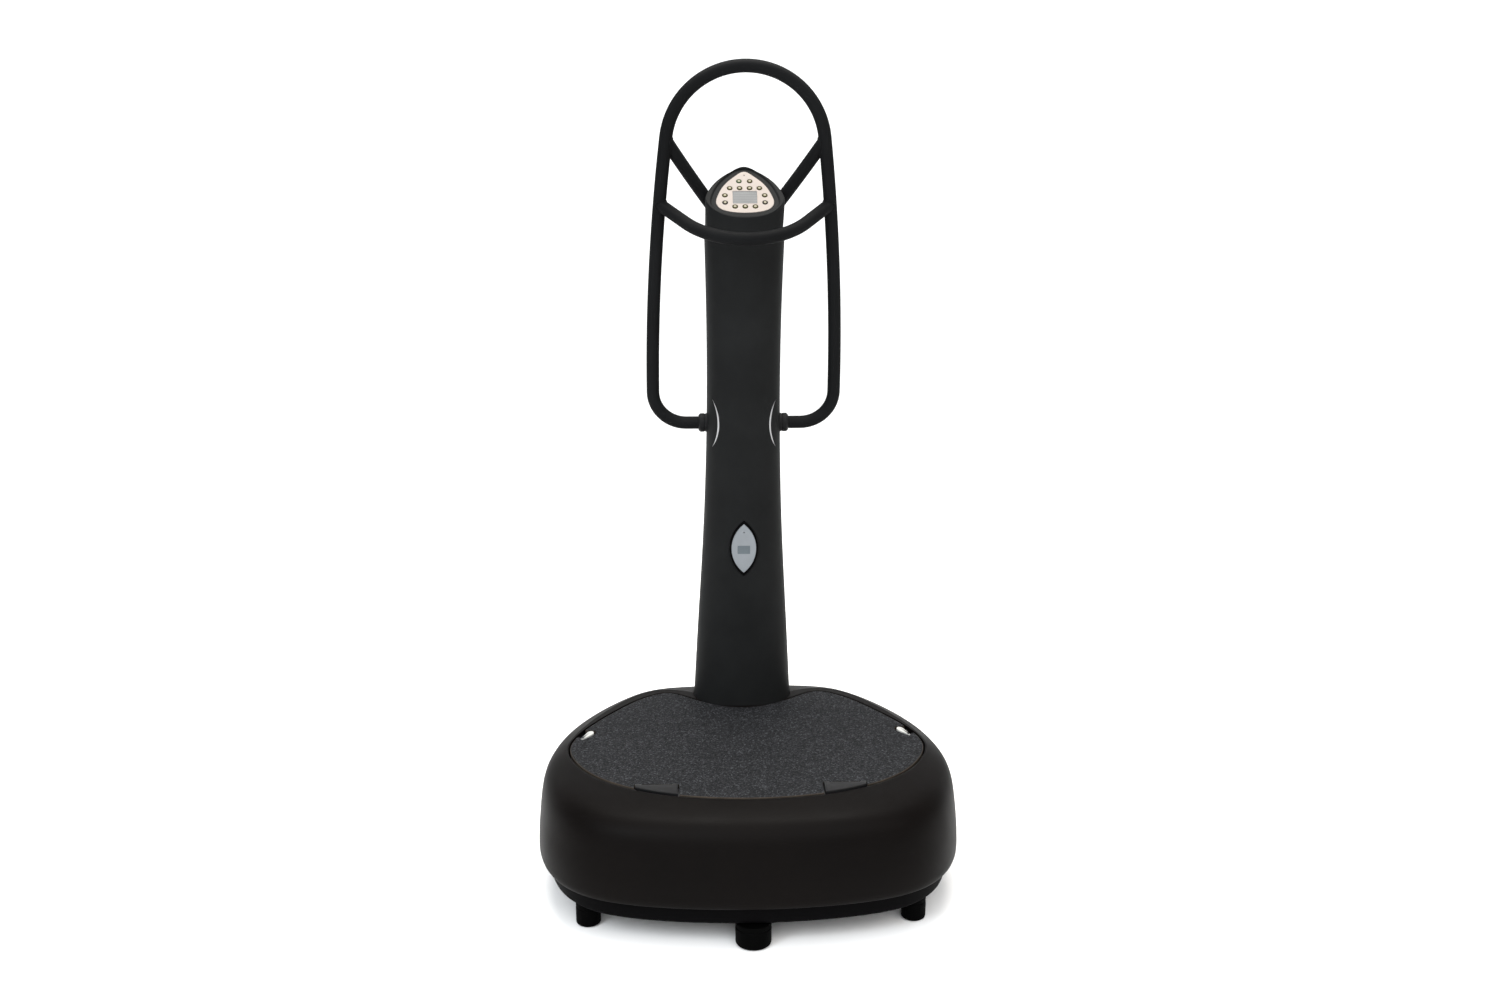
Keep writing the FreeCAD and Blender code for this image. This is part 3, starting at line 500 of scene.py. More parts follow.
def tint(material, surface, value, colour, pale, full, low=0.3, high=0.7):
    """A pattern drifts the colour between two shares of itself."""
    wire(material, ramp(material, value, [(low, scaled(colour, pale)),
                                          (high, scaled(colour, full))]),
         surface.inputs["Base Color"])


def sheen(material, surface, value, roughness, less, more):
    """A pattern drifts the roughness to either side of a middle value."""
    wire(material, remap(material, value, 0.3, 0.7, roughness - less, roughness + more),
         surface.inputs["Roughness"])


def moulded(name, colour, roughness=0.45, grain=1400.0, depth=0.00006, coat=0.0, specular=0.5,
            spread=0.16):
    """Moulded plastic: fine spark-eroded grain, faint colour drift, uneven sheen."""
    material, surface = shader(name, colour, roughness, coat, specular=specular)
    where = place_of(material)
    fine = noise(material, where, grain, 3.0, 0.6)
    broad = noise(material, where, 9.0, 3.0, 0.5)
    tint(material, surface, broad, colour, 1 - spread, 1 + spread)
    sheen(material, surface, broad, roughness, 0.04, 0.05)
    bump(material, surface, [(fine, 0.35, depth)])
    return material


def powder(name, colour, roughness=0.42, specular=0.5):
    """Powder coat: a soft orange-peel skin with a little fine grit."""
    material, surface = shader(name, colour, roughness, specular=specular)
    where = place_of(material)
    peel = noise(material, where, 420.0, 2.0, 0.4)
    grit = noise(material, where, 2600.0, 2.0, 0.6)
    broad = noise(material, where, 6.0, 2.0, 0.5)
    tint(material, surface, broad, colour, 0.85, 1.18)
    sheen(material, surface, peel, roughness, 0.05, 0.05)
    bump(material, surface, [(peel, 0.25, 0.00012), (grit, 0.2, 0.00003)])
    return material


def rubber(name, colour, roughness=0.75, grain=900.0, specular=0.1):
    material, surface = shader(name, colour, roughness, specular=specular)
    where = place_of(material)
    fine = noise(material, where, grain, 4.0, 0.65)
    dust = noise(material, where, 30.0, 4.0, 0.6)
    tint(material, surface, dust, colour, 0.8, 1.5, 0.35, 0.75)
    sheen(material, surface, dust, roughness, 0.08, 0.08)
    bump(material, surface, [(fine, 0.4, 0.0001)])
    return material


def granular(name):
    """The standing mat: bonded rubber crumbs in dark blue-grey with paler specks."""
    material, surface = shader(name, (0.018, 0.0195, 0.023), 0.85, specular=0.12)
    where = place_of(material)
    crumbs = node(material, "ShaderNodeTexVoronoi", Scale=440.0)
    wire(material, where, crumbs.inputs["Vector"])
    split = node(material, "ShaderNodeSeparateColor")
    wire(material, crumbs.outputs["Color"], split.inputs["Color"])
    tone = ramp(material, split.outputs["Red"], [(0.0, (0.0042, 0.0046, 0.0052)),
                                                 (0.45, (0.0080, 0.0085, 0.0096)),
                                                 (0.8, (0.0148, 0.0155, 0.0175)),
                                                 (1.0, (0.050, 0.052, 0.057))])
    cloud = noise(material, where, 24.0, 4.0, 0.6)
    mixed = node(material, "ShaderNodeMix", data_type="RGBA", blend_type="MULTIPLY")
    mixed.inputs["Factor"].default_value = 0.6
    wire(material, tone, mixed.inputs["A"])
    wire(material, ramp(material, cloud, [(0.3, (0.72, 0.72, 0.74)), (0.7, (1.0, 1.0, 1.0))]),
         mixed.inputs["B"])
    wire(material, mixed.outputs["Result"], surface.inputs["Base Color"])
    wire(material, remap(material, split.outputs["Green"], 0, 1, 0.7, 0.95),
         surface.inputs["Roughness"])
    fine = noise(material, where, 1500.0, 3.0, 0.6)
    bump(material, surface, [(remap(material, crumbs.outputs["Distance"], 0, 0.7, 1, 0), 0.8,
                              0.0007), (fine, 0.4, 0.0002)])
    return material


def turned(name, colour, roughness=0.28, stretch=(60, 900, 900)):
    """Bright metal with fine lines left by the tool."""
    material, surface = shader(name, colour, roughness, metallic=1.0)
    where = place_of(material, stretch)
    lines = noise(material, where, 1.0, 3.0, 0.6)
    tint(material, surface, lines, colour, 0.85, 1.08)
    sheen(material, surface, lines, roughness, 0.06, 0.1)
    bump(material, surface, [(lines, 0.15, 0.00004)])
    return material


def cast(name, colour, roughness=0.5):
    material, surface = shader(name, colour, roughness, metallic=1.0)
    where = place_of(material)
    pits = noise(material, where, 320.0, 5.0, 0.7)
    broad = noise(material, where, 14.0, 3.0, 0.5)
    tint(material, surface, broad, colour, 0.8, 1.1)
    sheen(material, surface, pits, roughness, 0.08, 0.12)
    bump(material, surface, [(pits, 0.4, 0.0002)])
    return material


def film(name, colour, roughness=0.45, specular=0.15):
    """Printed polyester overlay: satin, with a very fine even grain."""
    material, surface = shader(name, colour, roughness, specular=specular)
    where = place_of(material)
    fine = noise(material, where, 3000.0, 2.0, 0.5)
    broad = noise(material, where, 35.0, 3.0, 0.5)
    tint(material, surface, broad, colour, 0.96, 1.03)
    sheen(material, surface, fine, roughness, 0.03, 0.05)
    bump(material, surface, [(fine, 0.15, 0.00002)])
    return material


def display(name, colour, dark):
    """A reflective LCD: a faint grid on an even field."""
    material, surface = shader(name, colour, 0.4, specular=0.12)
    where = place_of(material)
    both = node(material, "ShaderNodeMath", operation="MULTIPLY")
    for into, (direction, pitch) in zip(both.inputs, (("X", 260.0), ("Y", 91.0))):
        waves = node(material, "ShaderNodeTexWave", Scale=pitch, Distortion=0.0,
                     bands_direction=direction)
        wire(material, where, waves.inputs["Vector"])
        wire(material, waves.outputs["Fac"], into)
    wire(material, ramp(material, both.outputs["Value"], [(0.0, colour), (1.0, dark)]),
         surface.inputs["Base Color"])
    sheen(material, surface, noise(material, where, 60.0, 2.0, 0.5), 0.4, 0.04, 0.04)
    return material


LOOKS = {
    "base_black": moulded("base_black", (0.0020, 0.0014, 0.0012), 0.5, specular=0.05),
    "cover_black": moulded("cover_black", (0.0090, 0.0094, 0.0096), 0.56, specular=0.04),
    "tray_black": moulded("tray_black", (0.0010, 0.0009, 0.0011), 0.62, 900.0, 0.0001,
                          specular=0.03),
    "handle_paint": powder("handle_paint", (0.0062, 0.0064, 0.0068), 0.6, specular=0.03),
    "frame_paint": powder("frame_paint", (0.016, 0.016, 0.018)),
    "plate_paint": powder("plate_paint", (0.03, 0.03, 0.033)),
    "fastener_zinc": turned("fastener_zinc", (0.56, 0.56, 0.54), 0.35, (700, 700, 700)),
    "spigot_steel": turned("spigot_steel", (0.5, 0.5, 0.49), 0.25),
    "collar_black": moulded("collar_black", (0.0085, 0.0085, 0.009), 0.5, specular=0.06),
    "foot_rubber": rubber("foot_rubber", (0.0006, 0.0006, 0.0006), 0.62, specular=0.02),
    "wheel_rubber": rubber("wheel_rubber", (0.012, 0.012, 0.012), 0.6),
    "mat_rubber": granular("mat_rubber"),
    "clip_black": moulded("clip_black", (0.0055, 0.0055, 0.006), 0.5, specular=0.15),
    "clip_white": moulded("clip_white", (0.46, 0.46, 0.44), 0.35, 1200.0, 0.00004, spread=0.04),
    "isolator_rubber": rubber("isolator_rubber", (0.012, 0.012, 0.012)),
    "motor_alloy": cast("motor_alloy", (0.48, 0.49, 0.5)),
    "rotor_steel": turned("rotor_steel", (0.42, 0.42, 0.41), 0.35),
    "trim_silver": turned("trim_silver", (0.42, 0.42, 0.43), 0.34, (300, 300, 20)),
    "eye_black": moulded("eye_black", (0.0006, 0.0006, 0.0007), 0.35, 1800.0, 0.00002,
                         specular=0.03),
    "eye_grey": film("eye_grey", (0.205, 0.22, 0.235)),
    "lcd_grey": display("lcd_grey", (0.105, 0.108, 0.11), (0.055, 0.057, 0.06)),
    "panel_grey": film("panel_grey", (0.235, 0.205, 0.185)),
    "key_grey": film("key_grey", (0.19, 0.175, 0.125), 0.5, 0.15),
    "board_green": moulded("board_green", (0.02, 0.12, 0.045), 0.35, 900.0),
    "cable_black": rubber("cable_black", (0.010, 0.010, 0.010), 0.5),
    "controller_grey": powder("controller_grey", (0.11, 0.11, 0.12), 0.5),
    "inlet_black": moulded("inlet_black", (0.010, 0.010, 0.011), 0.4),
    "rocker_black": moulded("rocker_black", (0.012, 0.012, 0.013), 0.25, coat=0.2),
}
KEY_RING = film("key_ring", (0.030, 0.026, 0.009), 0.6, 0.05)
KEY_DARK = film("key_dark", (0.009, 0.008, 0.006), 0.6, 0.05)
KEY_GREEN = film("key_green", (0.030, 0.046, 0.022), 0.6, 0.05)
EYE_SCREEN = display("eye_screen", (0.115, 0.135, 0.148), (0.085, 0.10, 0.112))
# Painted highlight: a lighter brownish colour on the mat's rounded border and notch walls stands in
# for light caught along the mat's edge.
MAT_EDGE_PAINTED_HIGHLIGHT = rubber("mat_edge_painted_highlight", (0.030, 0.024, 0.019), 0.6)

for entry in frame["record"]["subparts"]:
    mesh = NODES[entry["node"]].data
    mesh.materials.clear()
    mesh.materials.append(LOOKS[entry["material_slot"]])
    for polygon in mesh.polygons:
        polygon.material_index = 0
NODES["eye_lcd"].data.materials[0] = EYE_SCREEN


def piece(obj, body, slot, *nodes):
    """Gives a visible piece its finish if it has none, hangs it on the body it rides on and hides the
    CAD nodes it stands for.
    """
    if not obj.data.materials:
        obj.data.materials.append(LOOKS[slot])
    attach(obj, body)
    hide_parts(*nodes)


# ---- base ----
BODY = mirrored(BODY_HALF)
MAT = mirrored(MAT_HALF)
RIM = mirrored(RIM_HALF)
PANEL = mirrored(PANEL_HALF)
HOOD = mirrored(HOOD_HALF)


def cover_rings(wall, sections):
    """Rings of the base cover's surface, or with a wall of its inside."""
    rings = []
    for z, share, extra in sections:
        slope = math.radians(90 * share)
        outline = inset(blended(BODY, RIM, share), extra + wall * math.cos(slope))
        rings.append(at_height(closed_curve(outline, AROUND), z - wall * math.sin(slope)))
    return np.array(rings)


def column_at(z):
    """The column's half width, front, widest line and rear at a height."""
    return open_curve([s[1:] for s in COLUMN], [z], [s[0] for s in COLUMN])[0]


def column_section(z, wall, count, half_from=None):
    """Points round the column at a height, all round or half round from an angle."""
    half, front, widest, rear = column_at(z)
    if half_from is None:
        angles = [2 * math.pi * k / count for k in range(count)]
    else:
        angles = [half_from + math.pi * k / (count - 1) for k in range(count)]
    points = []
    for angle in angles:
        c = math.cos(angle)
        s = math.sin(angle)
        depth = (rear - widest if s > 0 else widest - front) - wall
        x = (half - wall) * math.copysign(abs(c) ** (2 / ROUNDNESS), c)
        y = widest + depth * math.copysign(abs(s) ** (2 / ROUNDNESS), s)
        points.append((x, y, z))
    return np.array(points)


def column_cutter(grow, z0, z1):
    heights = np.linspace(z0, z1, 8)
    return skin("cutter", [column_section(z, -grow, 144) for z in heights])


def halved(obj, y, keep_front):
    """Cuts a closed mesh at a plane across Y, keeps one side and closes it."""
    bm = bmesh.new()
    bm.from_mesh(obj.data)
    cut = bmesh.ops.bisect_plane(bm, geom=bm.verts[:] + bm.edges[:] + bm.faces[:],
                                 plane_co=(0, y * MM, 0), plane_no=(0, 1, 0),
                                 clear_outer=keep_front, clear_inner=not keep_front)
    rim = [e for e in cut["geom_cut"] if isinstance(e, bmesh.types.BMEdge)]
    bmesh.ops.holes_fill(bm, edges=rim, sides=0)
    bmesh.ops.recalc_face_normals(bm, faces=bm.faces)
    bm.to_mesh(obj.data)
    bm.free()


def cover_shell(name):
    """The whole base cover as one closed shell, before it is split."""
    outer = cover_rings(0.0, COVER_SECTIONS)
    surface = open_curve(outer, np.linspace(0, 1, 44))
    mat = closed_curve(MAT, AROUND)
    edge = offset(at_height(mat, RIM_TOP), GAP)
    crown = surface[-1]
    stations = [(ring, 0) for ring in surface[1:-1]]
    stations.append((crown, 3.0))
    for share in (0.35, 0.7):
        stations.append((crown + (edge - crown) * share, 0))
    stations.append((edge, 2.2))
    stations.append((edge - (0, 0, 12), 0))
    stations.append((edge - (0, 0, 21), 1.0))
    lip = offset(edge, LIP)
    stations.append((lip - (0, 0, 21), 1.0))
    stations.append((lip - (0, 0, 7), 0))
    inner = cover_rings(WALL, COVER_SECTIONS[1:])
    inside = open_curve(inner, np.linspace(1, 0, 16))
    stations += [(ring, 0) for ring in inside[1:]]
    stations.append((offset(surface[0], -WALL), 1.4))
    stations.append((surface[0], 2.5))
    return skin(name, rounded(stations, loop=True), loop=True)


def make_base_covers():
    front = cover_shell("base_shell")
    rear = cover_shell("rear_shell")
    halved(front, SPLIT_Y - SEAM / 2, True)
    halved(rear, SPLIT_Y + SEAM / 2, False)
    carve(front, [column_cutter(1.2, 150, 300)])
    carve(rear, [column_cutter(1.2, 150, 300), block(-32, 32, 376, 400, 99, 153),
                 block(-25, 25, 340, 400, 103, 149)])
    piece(front, "base", "base_black", "base_cover")
    piece(rear, "base", "base_black", "rear_cover")


def make_tray():
    outline = at_height(closed_curve(inset(BODY, 21), AROUND), 0)
    inner = offset(outline, -TRAY_WALL)
    under = (0, 0, TRAY_FLOOR)
    over = (0, 0, TRAY_FLOOR + TRAY_WALL)
    top = (0, 0, TRAY_TOP)
    shares = (0.86, 0.6, 0.3, 0.02)
    stations = [(inner * (s, s, 1) + over, 0) for s in reversed(shares)]
    stations += [(inner + over, 5), (inner + top, 1), (outline + top, 1),
                 (outline + (0, 0, 66), 0), (outline + under, 9)]
    stations += [(inner * (s, s, 1) + under, 0) for s in shares]
    tray = skin("tray_shell", rounded(stations))
    cutters = [rod(12, (x, y, 40), (x, y, 60)) for _, x, y, _ in FEET]
    cutters += [block(x - 24, x + 24, 312, 400, 40, 100) for x in (-WHEEL_X, WHEEL_X)]
    carve(tray, cutters)
    piece(tray, "base", "tray_black", "under_tray")


def make_feet():
    for name, x, y, radius in FEET:
        profile = [(0, 0.01, 0), (0, radius - 8, 0), (0.8, radius - 7, 0.4), (0.8, radius - 4, 0),
                   (3.5, radius - 0.3, 3), (9, radius, 1), (34, radius, 1), (35.2, radius - 1.1, 0.4),
                   (37.0, radius - 1.1, 0.4), (38.2, radius, 0.8), (46, radius - 0.2, 2.4),
                   (46, 11, 1), (47, 10, 0.5), (47, 6, 0.2), (108, 6, 1), (108, 0.01, 0)]
        foot = lathe("pad_" + name, (x, y, 0), (0, 0, 1), profile, 72)
        piece(foot, name, "foot_rubber", name)


def make_wheels():
    half = [(-14, 5.05, 0), (-14, 10, 0.8), (-12, 10.4, 0.4), (-5.5, 10.6, 1.5), (-5.5, 19, 1.5),
            (-11.6, 20.5, 0.8), (-12, 24, 1), (-9.5, 28, 2.5), (-4.4, 28, 0.3),
            (-3.6, 27.1, 0.2), (-2.8, 28, 0.3)]
    profile = half + [(-along, radius, rounding) for along, radius, rounding in reversed(half)]
    for name, x in (("wheel_left", -WHEEL_X), ("wheel_right", WHEEL_X)):
        wheel = lathe("tyre_" + name, (x, AXLE_Y, AXLE_Z), (1, 0, 0), profile, 72, 35, 3, True)
        piece(wheel, name, "wheel_rubber", name)


# ---- platform ----
SIDE_CLIP_PLACE = (Matrix.Translation((312 * MM, 6 * MM, (MAT_TOP - MAT_DEPTH) * MM))
                   @ Matrix.Rotation(math.radians(111), 4, "Z"))
MIRROR = Matrix.Scale(-1, 4, (1, 0, 0))


def on_side_clip(obj, side):
    """Moves a piece made in the right side clip's own directions to its side of the platform."""
    obj.data.transform(SIDE_CLIP_PLACE if side > 0 else MIRROR @ SIDE_CLIP_PLACE)
    if side < 0:
        obj.data.flip_normals()
    return obj


def side_clip_block(grow, z0, z1, edge=0.0, name="cutter"):
    """The side clip's tapered plan as a closed block, its upper edge rounded if asked."""
    outline = closed_curve(inset(SIDE_CLIP, -grow), 96)
    low = at_height(outline, z0)
    high = at_height(outline, z1)
    if not edge:
        return skin(name, [low, high])
    return skin(name, rounded([(low, 0), (high, edge), (offset(high, -edge * 1.5), 0),
                               (offset(high, -3.4), 0)]))


def make_mat():
    outline = at_height(closed_curve(MAT, 480), MAT_TOP)
    centre = np.array((0, -40.0, MAT_TOP))
    depth = (0, 0, MAT_DEPTH)
    stations = [(outline - depth, 0.6), (outline, 2.2), (offset(outline, -4), 0)]
    inner = offset(outline, -10)
    for share in (1.0, 0.94, 0.86, 0.77, 0.67, 0.56, 0.44, 0.31, 0.17, 0.04):
        stations.append((centre + (inner - centre) * share, 0))
    rings = rounded([(centre + (inner - centre - depth) * (0.04, 0.04, 1), 0)] + stations)
    mat = skin("mat_pad", rings)
    cutters = []
    for side in (-1, 1):
        left, right = sorted((side * 132.6, side * 215.4))
        cutters.append(rounded_block(left, right, -310, -225.6, 240, 300, 5))
        cutters.append(on_side_clip(side_clip_block(4.5, -1, 20), side))
        cutters.append(on_side_clip(block(-17, 22, -45, -2, -1, 20), side))
    carve(mat, cutters, sharp=35)
    mat.data.materials.append(LOOKS["mat_rubber"])
    mat.data.materials.append(MAT_EDGE_PAINTED_HIGHLIGHT)
    # Faces that are not level (the mat's rounded border and notch walls) take the painted edge
    # highlight colour; the level top keeps the mat's own colour.
    for polygon in mat.data.polygons:
        polygon.material_index = 1 if polygon.normal.z < 0.93 else 0
    piece(mat, "platform", "mat_rubber", "mat")


def rounded_outline(x0, x1, y0, y1, radius, steps=6):
    points = []
    for cx, cy, start in ((x1 - radius, y0 + radius, -90), (x1 - radius, y1 - radius, 0),
                          (x0 + radius, y1 - radius, 90), (x0 + radius, y0 + radius, 180)):
        for k in range(steps + 1):
            angle = math.radians(start + 90 * k / steps)
            points.append((cx + radius * math.cos(angle), cy + radius * math.sin(angle)))
    return points


def rounded_block(x0, x1, y0, y1, z0, z1, radius, edge=0.0, name="cutter"):
    """A closed block with rounded upright corners and, if asked, rounded level edges."""
    outline = np.array(rounded_outline(x0, x1, y0, y1, radius))
    low = at_height(outline, z0)
    high = at_height(outline, z1)
    if not edge:
        return skin(name, [low, high])
    return skin(name, rounded([(offset(low, -edge * 1.6), 0), (low, edge), (high, edge),
                               (offset(high, -edge * 1.6), 0)]))


def make_clips():
    outline = closed_curve(inset(MAT, 0.5), 720)
    clips = []
    for side in (-1, 1):
        edge = [p for p in outline if 133 <= side * p[0] <= 215 and p[1] < 0]
        edge = sorted(edge, key=lambda p: p[0])
        back = [(edge[-1][0], -226), (edge[-1][0] - 9, -226), (edge[-1][0] - 12, -231),
                (edge[0][0] + 12, -231), (edge[0][0] + 9, -226), (edge[0][0], -226)]
        shape = [tuple(p) for p in edge] + back
        clips.append(plate("clip", [shape], MAT_TOP - MAT_DEPTH, MAT_TOP + 2.5, 1.4))
    piece(joined("edge_clips", clips), "platform", "clip_black", "mat_clips")


def make_side_clips():
    clips = []
    for side in (-1, 1):
        clips.append(on_side_clip(side_clip_block(0, 0, 8.5, 1.8, "clip"), side))
    piece(joined("side_clip_pair", clips), "platform", "clip_white", "side_clips")


# ---- column ----
def column_shell(name, first, wall=3.0):
    """Half of the column's cover as a closed shell, from an angle through half a turn."""
    rings = []
    gap = (0, SEAM / 2 if first == 0 else -SEAM / 2, 0)
    for z in np.linspace(COLUMN_FOOT, HEAD_SEAM, 60):
        outer = column_section(z, 0.0, 73, first) + gap
        inner = column_section(z, wall, 73, first) + gap
        for end in (0, -1):
            outer[end] = outer[end] * 0.25 + inner[end] * 0.75
        rings.append(np.vstack([outer, inner[::-1]]))
    return skin(name, rings)


def eye_place():
    return Matrix.Translation(EYE_AT * MM) @ Matrix.Rotation(EYE_LEAN, 4, "X")


def stub_hole():
    """A cutter for the cross hole that the handle's two ends pass through."""
    reach = Vector((120, 0, 0))
    return rod(13, STUB - reach, STUB + reach)


def lens(half_width, half_height, count=96):
    """A pointed oval made of two arcs, counter-clockwise from its lower tip."""
    radius = (half_width ** 2 + half_height ** 2) / (2 * half_width)
    span = math.asin(half_height / radius)
    points = []
    for side in (1, -1):
        for k in range(count // 2):
            angle = span * (2 * k / (count // 2) - 1)
            points.append((side * (radius * math.cos(angle) - radius + half_width),
                           side * radius * math.sin(angle)))
    return np.array(points)


def in_place(ring, place):
    """A ring in a panel's own frame, moved to the machine's frame, in millimetres."""
    return np.array([tuple((place @ (Vector(p) * MM)) / MM) for p in ring])


def make_column():
    front = column_shell("column_front_shell", -math.pi)
    rear = column_shell("column_rear_shell", 0.0)
    place = eye_place()
    lower = in_place(at_height(lens(29, 59.5), -16), place)
    upper = in_place(at_height(lens(29, 59.5), 20), place)
    carve(front, [skin("cutter", [lower, upper]), stub_hole()])
    piece(front, "base", "cover_black", "column_front_cover")
    bosses = []
    cutters = [stub_hole()]
    for z in (320, 600, 880, 1160):
        y = column_at(z)[3]
        bosses.append(rod(7.5, (0, y - 9, z), (0, y - 1.5, z)))
        cutters.append(rod(5.0, (0, y - 4, z), (0, y + 6, z)))
    carve(rear, bosses, "UNION")
    carve(rear, cutters)
    piece(rear, "base", "cover_black", "column_rear_cover")


def make_eye():
    place = eye_place()
    outer = at_height(lens(28.5, 59.0), 0)
    inner = at_height(lens(24.9, 52.3), 0)
    stations = [(outer - (0, 0, 12), 0), (outer + (0, 0, 2.6), 1.6), (inner + (0, 0, 2.0), 1.0),
                (inner - (0, 0, 3), 0), (inner - (0, 0, 12), 0)]
    ring = [in_place(r, place) for r in rounded(stations, loop=True)]
    piece(skin("eye_ring", ring, loop=True, sharp=50), "base", "eye_black", "eye_bezel")
    face_edge = at_height(lens(24.7, 52.0), 0)
    window = rounded_outline(-12.5, 12.5, -11.75, 5.75, 1.2)
    dot = round_outline(0, 34, 1.3, 16)
    face = plate("eye_overlay", [[(x, y) for x, y, _ in face_edge], window, dot], -3, 1.2, 0.5,
                 place)
    piece(face, "base", "eye_grey", "eye_face")


make_base_covers()
make_tray()
make_feet()
make_wheels()
make_mat()
make_clips()
make_side_clips()
make_column()
make_eye()


# ---- handle ----
def loop_shape():
    rise = (TOP_HEIGHT - TUBE_R - STUB.z) / math.cos(LOOP_LEAN)
    s = math.sin(SIDE_TURN)
    c = math.cos(SIDE_TURN)
    side = (rise - BEND_R - LOOP_HALF / c * (1 - s)) / (s - (1 - c) / c * (1 - s))
    arch = (LOOP_HALF - side * (1 - c)) / c
    return side, arch, rise - arch


def loop_point(height):
    """The loop's right centre line at a height, in the machine's frame."""
    side, arch, centre = loop_shape()
    s = (height - STUB.z) / math.cos(LOOP_LEAN)
    if s < centre + arch * math.sin(SIDE_TURN):
        x = LOOP_HALF - side + math.sqrt(side ** 2 - (s - BEND_R) ** 2)
    else:
        x = math.sqrt(arch ** 2 - (s - centre) ** 2)
    return Vector((x, STUB.y - s * math.sin(LOOP_LEAN), height))


def loop_run(height):
    """The loop's direction at a height."""
    return (loop_point(height + 10) - loop_point(height - 10)).normalized()


def loop_path():
    side, arch, centre = loop_shape()
    half = []
    for k in range(7):
        half.append((42 + (LOOP_HALF - BEND_R - 42) * k / 7, 0.0))
    for k in range(14):
        angle = math.pi / 2 * k / 14
        half.append((LOOP_HALF - BEND_R + BEND_R * math.sin(angle),
                     BEND_R - BEND_R * math.cos(angle)))
    for k in range(30):
        angle = SIDE_TURN * k / 30
        half.append((LOOP_HALF - side * (1 - math.cos(angle)), BEND_R + side * math.sin(angle)))
    for k in range(31):
        angle = SIDE_TURN + (math.pi / 2 - SIDE_TURN) * k / 30
        half.append((arch * math.cos(angle), centre + arch * math.sin(angle)))
    flat = half + [(-x, y) for x, y in reversed(half[:-1])]
    return [STUB + Vector((x, -s * math.sin(LOOP_LEAN), s * math.cos(LOOP_LEAN)))
            for x, s in flat]


def arc_through(a, b, c, count):
    """Points on the circle through three points, from the first to the last."""
    a, b, c = Vector(a), Vector(b), Vector(c)
    normal = (b - a).cross(c - a)
    to_b = b - a
    to_c = c - a
    centre = a + (normal.cross(to_b) * to_c.length_squared
                  + to_c.cross(normal) * to_b.length_squared) / (2 * normal.length_squared)
    start = a - centre
    up = normal.normalized()
    end = c - centre
    turn = math.atan2(start.cross(end).dot(up), start.dot(end)) % (2 * math.pi)
    return [centre + Matrix.Rotation(turn * k / (count - 1), 3, up) @ start for k in range(count)]


def crossbar_path(end):
    """The crossbar's centre line: one bend in the middle and straight ends."""
    chord = Vector((0, end.y, end.z))
    bow = BAR_BOW - chord
    depth = bow.length
    bow.normalize()
    s = math.sin(BAR_BEND)
    c = math.cos(BAR_BEND)
    straight = (end.x * (1 - c) - depth * s) / (c * (1 - c) - s * s)
    radius = (end.x - straight * c) / s
    half = []
    for k in range(33):
        angle = BAR_BEND * k / 32
        fall = radius * (1 - math.cos(angle))
        half.append(Vector((radius * math.sin(angle), 0, 0)) + chord + bow * (depth - fall))
    half += [half[-1].lerp(end, k / 8) for k in range(1, 9)]
    return [Vector((-p.x, p.y, p.z)) for p in reversed(half[1:])] + half


def weld(name, joint, brace_axis, run_axis):
    """A bead where a brace of BRACE_R meets the loop's tube, following the saddle line."""
    axis = Vector(brace_axis).normalized()
    run = Vector(run_axis).normalized()
    side = run.cross(axis).normalized()
    other = axis.cross(side)
    points = []
    for k in range(72):
        angle = 2 * math.pi * k / 72
        spoke = (side * math.cos(angle) + other * math.sin(angle)) * (BRACE_R + 0.2)
        off_spoke = spoke - run * spoke.dot(run)
        off_axis = axis - run * axis.dot(run)
        a = off_axis.length_squared
        b = 2 * off_spoke.dot(off_axis)
        c = off_spoke.length_squared - (TUBE_R + 0.2) ** 2
        reach = (-b + math.sqrt(max(b * b - 4 * a * c, 0.0))) / (2 * a)
        points.append(Vector(joint) + spoke + axis * reach)
    return sweep(name, points, 1.7, 10, 60, loop=True)


def strut_path(flip, count):
    """A strut's centre line, from the loop down into the head."""
    top = loop_point(STRUT_TOP)
    middle = (top + STRUT_LOW) * 0.5 + STRUT_BOW
    return arc_through(top * flip, middle * flip, STRUT_LOW * flip, count)


def make_handle():
    piece(sweep("loop_tube", loop_path(), TUBE_R, 40), "base", "handle_paint", "handle_loop")
    end = loop_point(BAR_END)
    bar = crossbar_path(end)
    parts = [sweep("bar", bar, BRACE_R, 40)]
    for side in (1, -1):
        flip = Vector((side, 1, 1))
        parts.append(weld("bead", end * flip, (bar[-2] - bar[-1]) * flip,
                          loop_run(BAR_END) * flip))
    piece(joined("crossbar_tube", parts), "base", "handle_paint", "crossbar")
    for name, side in (("left", -1), ("right", 1)):
        flip = Vector((side, 1, 1))
        path = strut_path(flip, 40)
        parts = [sweep("bar", path, BRACE_R, 40)]
        parts.append(weld("bead", loop_point(STRUT_TOP) * flip, path[1] - path[0],
                          loop_run(STRUT_TOP) * flip))
        piece(joined("strut_tube_" + name, parts), "base", "handle_paint", "strut_" + name)
    profile = [(60, 12.6, 0), (60, 18.5, 0), (74.6, 18.5, 0.6), (75.4, 17.6, 0.3),
               (77.0, 17.6, 0.3), (77.8, 18.5, 0.6), (85.6, 18.5, 1.8), (89, 14.6, 1.2),
               (89, 12.6, 0)]
    for name, side in (("left", -1), ("right", 1)):
        middle = (0, STUB.y, STUB.z)
        collar = lathe("collar_ring_" + name, middle, (side, 0, 0), profile, 72, 40, 4, True)
        piece(collar, "base", "collar_black", "collar_" + name)


